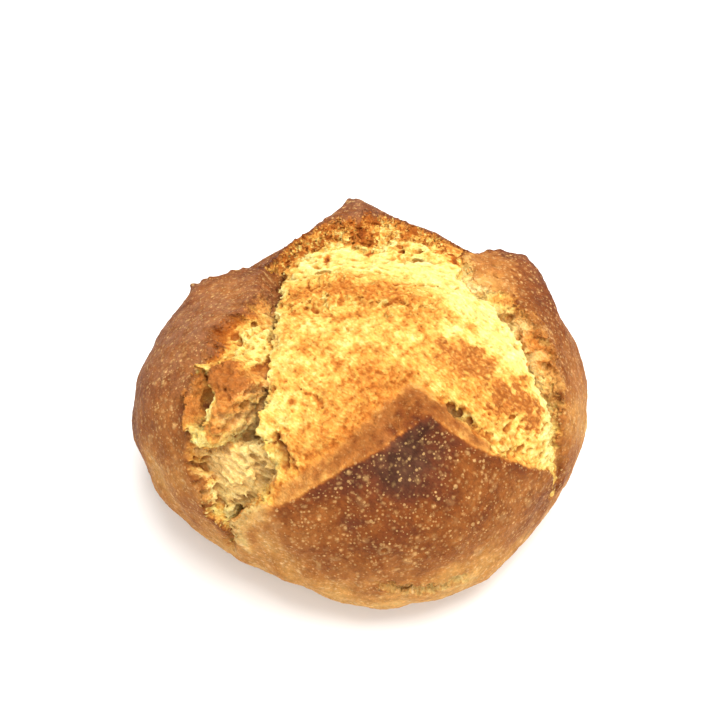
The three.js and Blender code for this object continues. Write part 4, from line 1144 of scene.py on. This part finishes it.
def math_node(op, a, b=None, clamp=False):
    n = nodes.new("ShaderNodeMath")
    n.operation = op
    n.use_clamp = clamp
    for i, x in enumerate((a, b)):
        if x is None:
            continue
        if isinstance(x, (int, float)):
            n.inputs[i].default_value = x
        else:
            links.new(x, n.inputs[i])
    return n.outputs[0]


def mixed(fac, a, b, how="MIX"):
    n = nodes.new("ShaderNodeMix")
    n.data_type = "RGBA"
    n.blend_type = how
    for sock, x in ((n.inputs[0], fac), (n.inputs[6], a), (n.inputs[7], b)):
        if isinstance(x, (int, float)):
            sock.default_value = x
        elif isinstance(x, tuple):
            sock.default_value = x
        else:
            links.new(x, sock)
    return n.outputs[2]


place = nodes.new("ShaderNodeTexCoord").outputs["Object"]
base = node("ShaderNodeAttribute", attribute_name="bake_and_shade").outputs["Color"]
glossy = node("ShaderNodeAttribute", attribute_name="gloss").outputs["Fac"]
crumb = node("ShaderNodeAttribute", attribute_name="crumb").outputs["Fac"]

# fine grain of the crust: small pale specks, and pores in the crumb darkened as painted shade
fine = node("ShaderNodeTexNoise", Scale=900.0, Detail=5.0, Roughness=0.65)
links.new(place, fine.inputs["Vector"])
grain = node("ShaderNodeTexNoise", Scale=260.0, Detail=6.0, Roughness=0.6)
links.new(place, grain.inputs["Vector"])
crust_only = math_node("SUBTRACT", 1.0, crumb, clamp=True)


def specks(scale, radius, share, tone):
    """Small round pale flecks: how pale each is, from 0 to `tone`."""
    cells = node("ShaderNodeTexVoronoi", Scale=scale)
    links.new(place, cells.inputs["Vector"])
    chosen = nodes.new("ShaderNodeSeparateColor")
    links.new(cells.outputs["Color"], chosen.inputs[0])
    size_ = math_node("MULTIPLY", math_node("ADD", chosen.outputs[2], 0.5), radius)
    edge_ = math_node("MULTIPLY", math_node("SUBTRACT", size_, cells.outputs["Distance"]), 9.0, clamp=True)
    some = math_node("GREATER_THAN", chosen.outputs[0], 1 - share)
    return math_node("MULTIPLY", math_node("MULTIPLY", edge_, some), math_node("MULTIPLY", chosen.outputs[1], tone))


# torn crumb: threads and flecks of paler and more toasted tone, drawn out along the pull
weave = node("ShaderNodeAttribute", attribute_name="weave").outputs["Vector"]
turned_ = node("ShaderNodeAttribute", attribute_name="turned").outputs["Fac"]
upper_ = node("ShaderNodeAttribute", attribute_name="upper").outputs["Fac"]


def drawn(angle, scale, long, detail=5.0, rough_=0.62):
    m = nodes.new("ShaderNodeMapping")
    links.new(weave, m.inputs["Vector"])
    m.inputs["Rotation"].default_value = (0, 0, math.radians(-angle))
    m.inputs["Scale"].default_value = (1, 1, 1)
    m2 = nodes.new("ShaderNodeMapping")
    links.new(m.outputs[0], m2.inputs["Vector"])
    m2.inputs["Scale"].default_value = (1 / long, 1, 1)
    n = node("ShaderNodeTexNoise", Scale=scale, Detail=detail, Roughness=rough_)
    links.new(m2.outputs[0], n.inputs["Vector"])
    return n.outputs["Fac"]


def blend(fac, a, b):
    return math_node("ADD", math_node("MULTIPLY", a, math_node("SUBTRACT", 1.0, fac)), math_node("MULTIPLY", b, fac))


fibre = blend(upper_, blend(turned_, drawn(-40, 0.55, 2.6), drawn(32, 0.55, 2.6)), drawn(-14, 0.5, 3.0))
fibre = math_node("ADD", math_node("MULTIPLY", math_node("SUBTRACT", fibre, 0.5), 3.4), 0.5, clamp=True)

fibre2 = blend(upper_, blend(turned_, drawn(-46, 1.15, 3.2), drawn(38, 1.15, 3.2)), drawn(-8, 1.0, 3.6))
fibre2 = math_node("ADD", math_node("MULTIPLY", math_node("SUBTRACT", fibre2, 0.5), 4.0), 0.5, clamp=True)

fleck = math_node("ADD", specks(400.0, 0.25, 0.80, 0.60), specks(700.0, 0.29, 0.8, 0.55), clamp=True)
fleck = math_node("MAXIMUM", fleck, specks(240.0, 0.19, 0.4, 0.6))
fleck = math_node("MULTIPLY", fleck, crust_only)
c1 = mixed(fleck, base, (0.74, 0.45, 0.17, 1))
tint = mixed(fibre, (1.09, 1.14, 1.24, 1), (0.92, 0.80, 0.60, 1))
c1 = mixed(math_node("MULTIPLY", crumb, 0.85), c1, mixed(1.0, c1, tint, "MULTIPLY"))
tint2 = mixed(fibre2, (1.07, 1.11, 1.18, 1), (0.93, 0.85, 0.70, 1))
c1 = mixed(math_node("MULTIPLY", crumb, 0.9), c1, mixed(1.0, c1, tint2, "MULTIPLY"))
# pores in the crumb: small dents, darkened as painted shade
pore_dent_and_shade = specks(330.0, 0.17, 0.10, 0.8)
pore_dent_and_shade = math_node("MULTIPLY", pore_dent_and_shade, crumb)
c1 = mixed(pore_dent_and_shade, c1, mixed(1.0, c1, (0.62, 0.45, 0.28, 1), "MULTIPLY"))
dark = math_node("MULTIPLY", math_node("SUBTRACT", grain.outputs["Fac"], 0.5), 1.0)
shade = math_node("ADD", 1.0, dark)
shade2 = math_node("ADD", shade, math_node("MULTIPLY", math_node("SUBTRACT", fine.outputs["Fac"], 0.5), 0.9))
grey = nodes.new("ShaderNodeCombineColor")
for i in range(3):
    links.new(shade2, grey.inputs[i])
c2 = mixed(1.0, c1, grey.outputs[0], "MULTIPLY")
links.new(c2, bsdf.inputs["Base Color"])
links.new(math_node("ADD", glossy, math_node("MULTIPLY", math_node("SUBTRACT", grain.outputs["Fac"], 0.5), 0.2), clamp=True), bsdf.inputs["Roughness"])

bump1 = node("ShaderNodeBump", Strength=0.5, Distance=0.0006)
links.new(fine.outputs["Fac"], bump1.inputs["Height"])
bump2 = node("ShaderNodeBump", Strength=0.55, Distance=0.0012)
links.new(grain.outputs["Fac"], bump2.inputs["Height"])
links.new(bump1.outputs[0], bump2.inputs["Normal"])
bump3 = node("ShaderNodeBump", Distance=0.0005)
bump3.inputs["Strength"].default_value = 0.7
links.new(math_node("ADD", math_node("SUBTRACT", math_node("ADD", math_node("MULTIPLY", fibre, -1.0), math_node("MULTIPLY", fibre2, -0.7)), pore_dent_and_shade), math_node("MULTIPLY", fleck, 0.6)), bump3.inputs["Height"])
links.new(bump2.outputs[0], bump3.inputs["Normal"])
links.new(bump3.outputs[0], bsdf.inputs["Normal"])
mesh.materials.append(mat)

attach(loaf, "root")
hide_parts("loaf")

# ------------------------------------------------------------------ floor, light, camera
floor_mesh = bpy.data.meshes.new("floor")
floor_mesh.from_pydata([(-3, -3, 0), (3, -3, 0), (3, 3, 0), (-3, 3, 0)], [], [(0, 1, 2, 3)])
floor = bpy.data.objects.new("floor", floor_mesh)
bpy.context.collection.objects.link(floor)
fm = bpy.data.materials.new("floor")
fm.use_nodes = True
fm.node_tree.nodes["Principled BSDF"].inputs["Base Color"].default_value = (0.93, 0.93, 0.93, 1)
fm.node_tree.nodes["Principled BSDF"].inputs["Roughness"].default_value = 0.9
floor_mesh.materials.append(fm)

world = bpy.data.worlds.new("studio")
bpy.context.scene.world = world
world.use_nodes = True
world.node_tree.nodes["Background"].inputs[0].default_value = (1.0, 0.99, 0.97, 1)
world.node_tree.nodes["Background"].inputs[1].default_value = 0.72


def lamp(name, place, aim, size, energy, colour):
    data = bpy.data.lights.new(name, "AREA")
    data.shape = "DISK"
    data.size = size
    data.energy = energy
    data.color = colour
    o = bpy.data.objects.new(name, data)
    bpy.context.collection.objects.link(o)
    o.location = place
    from mathutils import Vector

    o.rotation_euler = (Vector(aim) - Vector(place)).to_track_quat("-Z", "Y").to_euler()
    return o


lamp("key", (0.20, 0.02, 1.1), (0, 0, 0.06), 0.8, 15.0, (1.0, 0.985, 0.96))
lamp("fill", (0.20, -0.95, 0.75), (0, 0, 0.05), 0.9, 6.0, (1.0, 0.985, 0.96))

from mathutils import Matrix

cam_data = bpy.data.cameras.new("camera")
cam = bpy.data.objects.new("camera", cam_data)
bpy.context.collection.objects.link(cam)
tilt = math.radians(47.0)
cam.matrix_world = Matrix(
    (
        (1, 0, 0, -0.00067),
        (0, math.sin(tilt), -math.cos(tilt), -0.28986),
        (0, math.cos(tilt), math.sin(tilt), 0.38411),
        (0, 0, 0, 1),
    )
)
cam_data.sensor_width = 36
cam_data.lens = 41.0
cam_data.clip_start = 0.01
bpy.context.scene.camera = cam
bpy.context.scene.view_settings.view_transform = "Standard"
bpy.context.scene.view_settings.look = "None"
bpy.context.scene.view_settings.exposure = 0.0
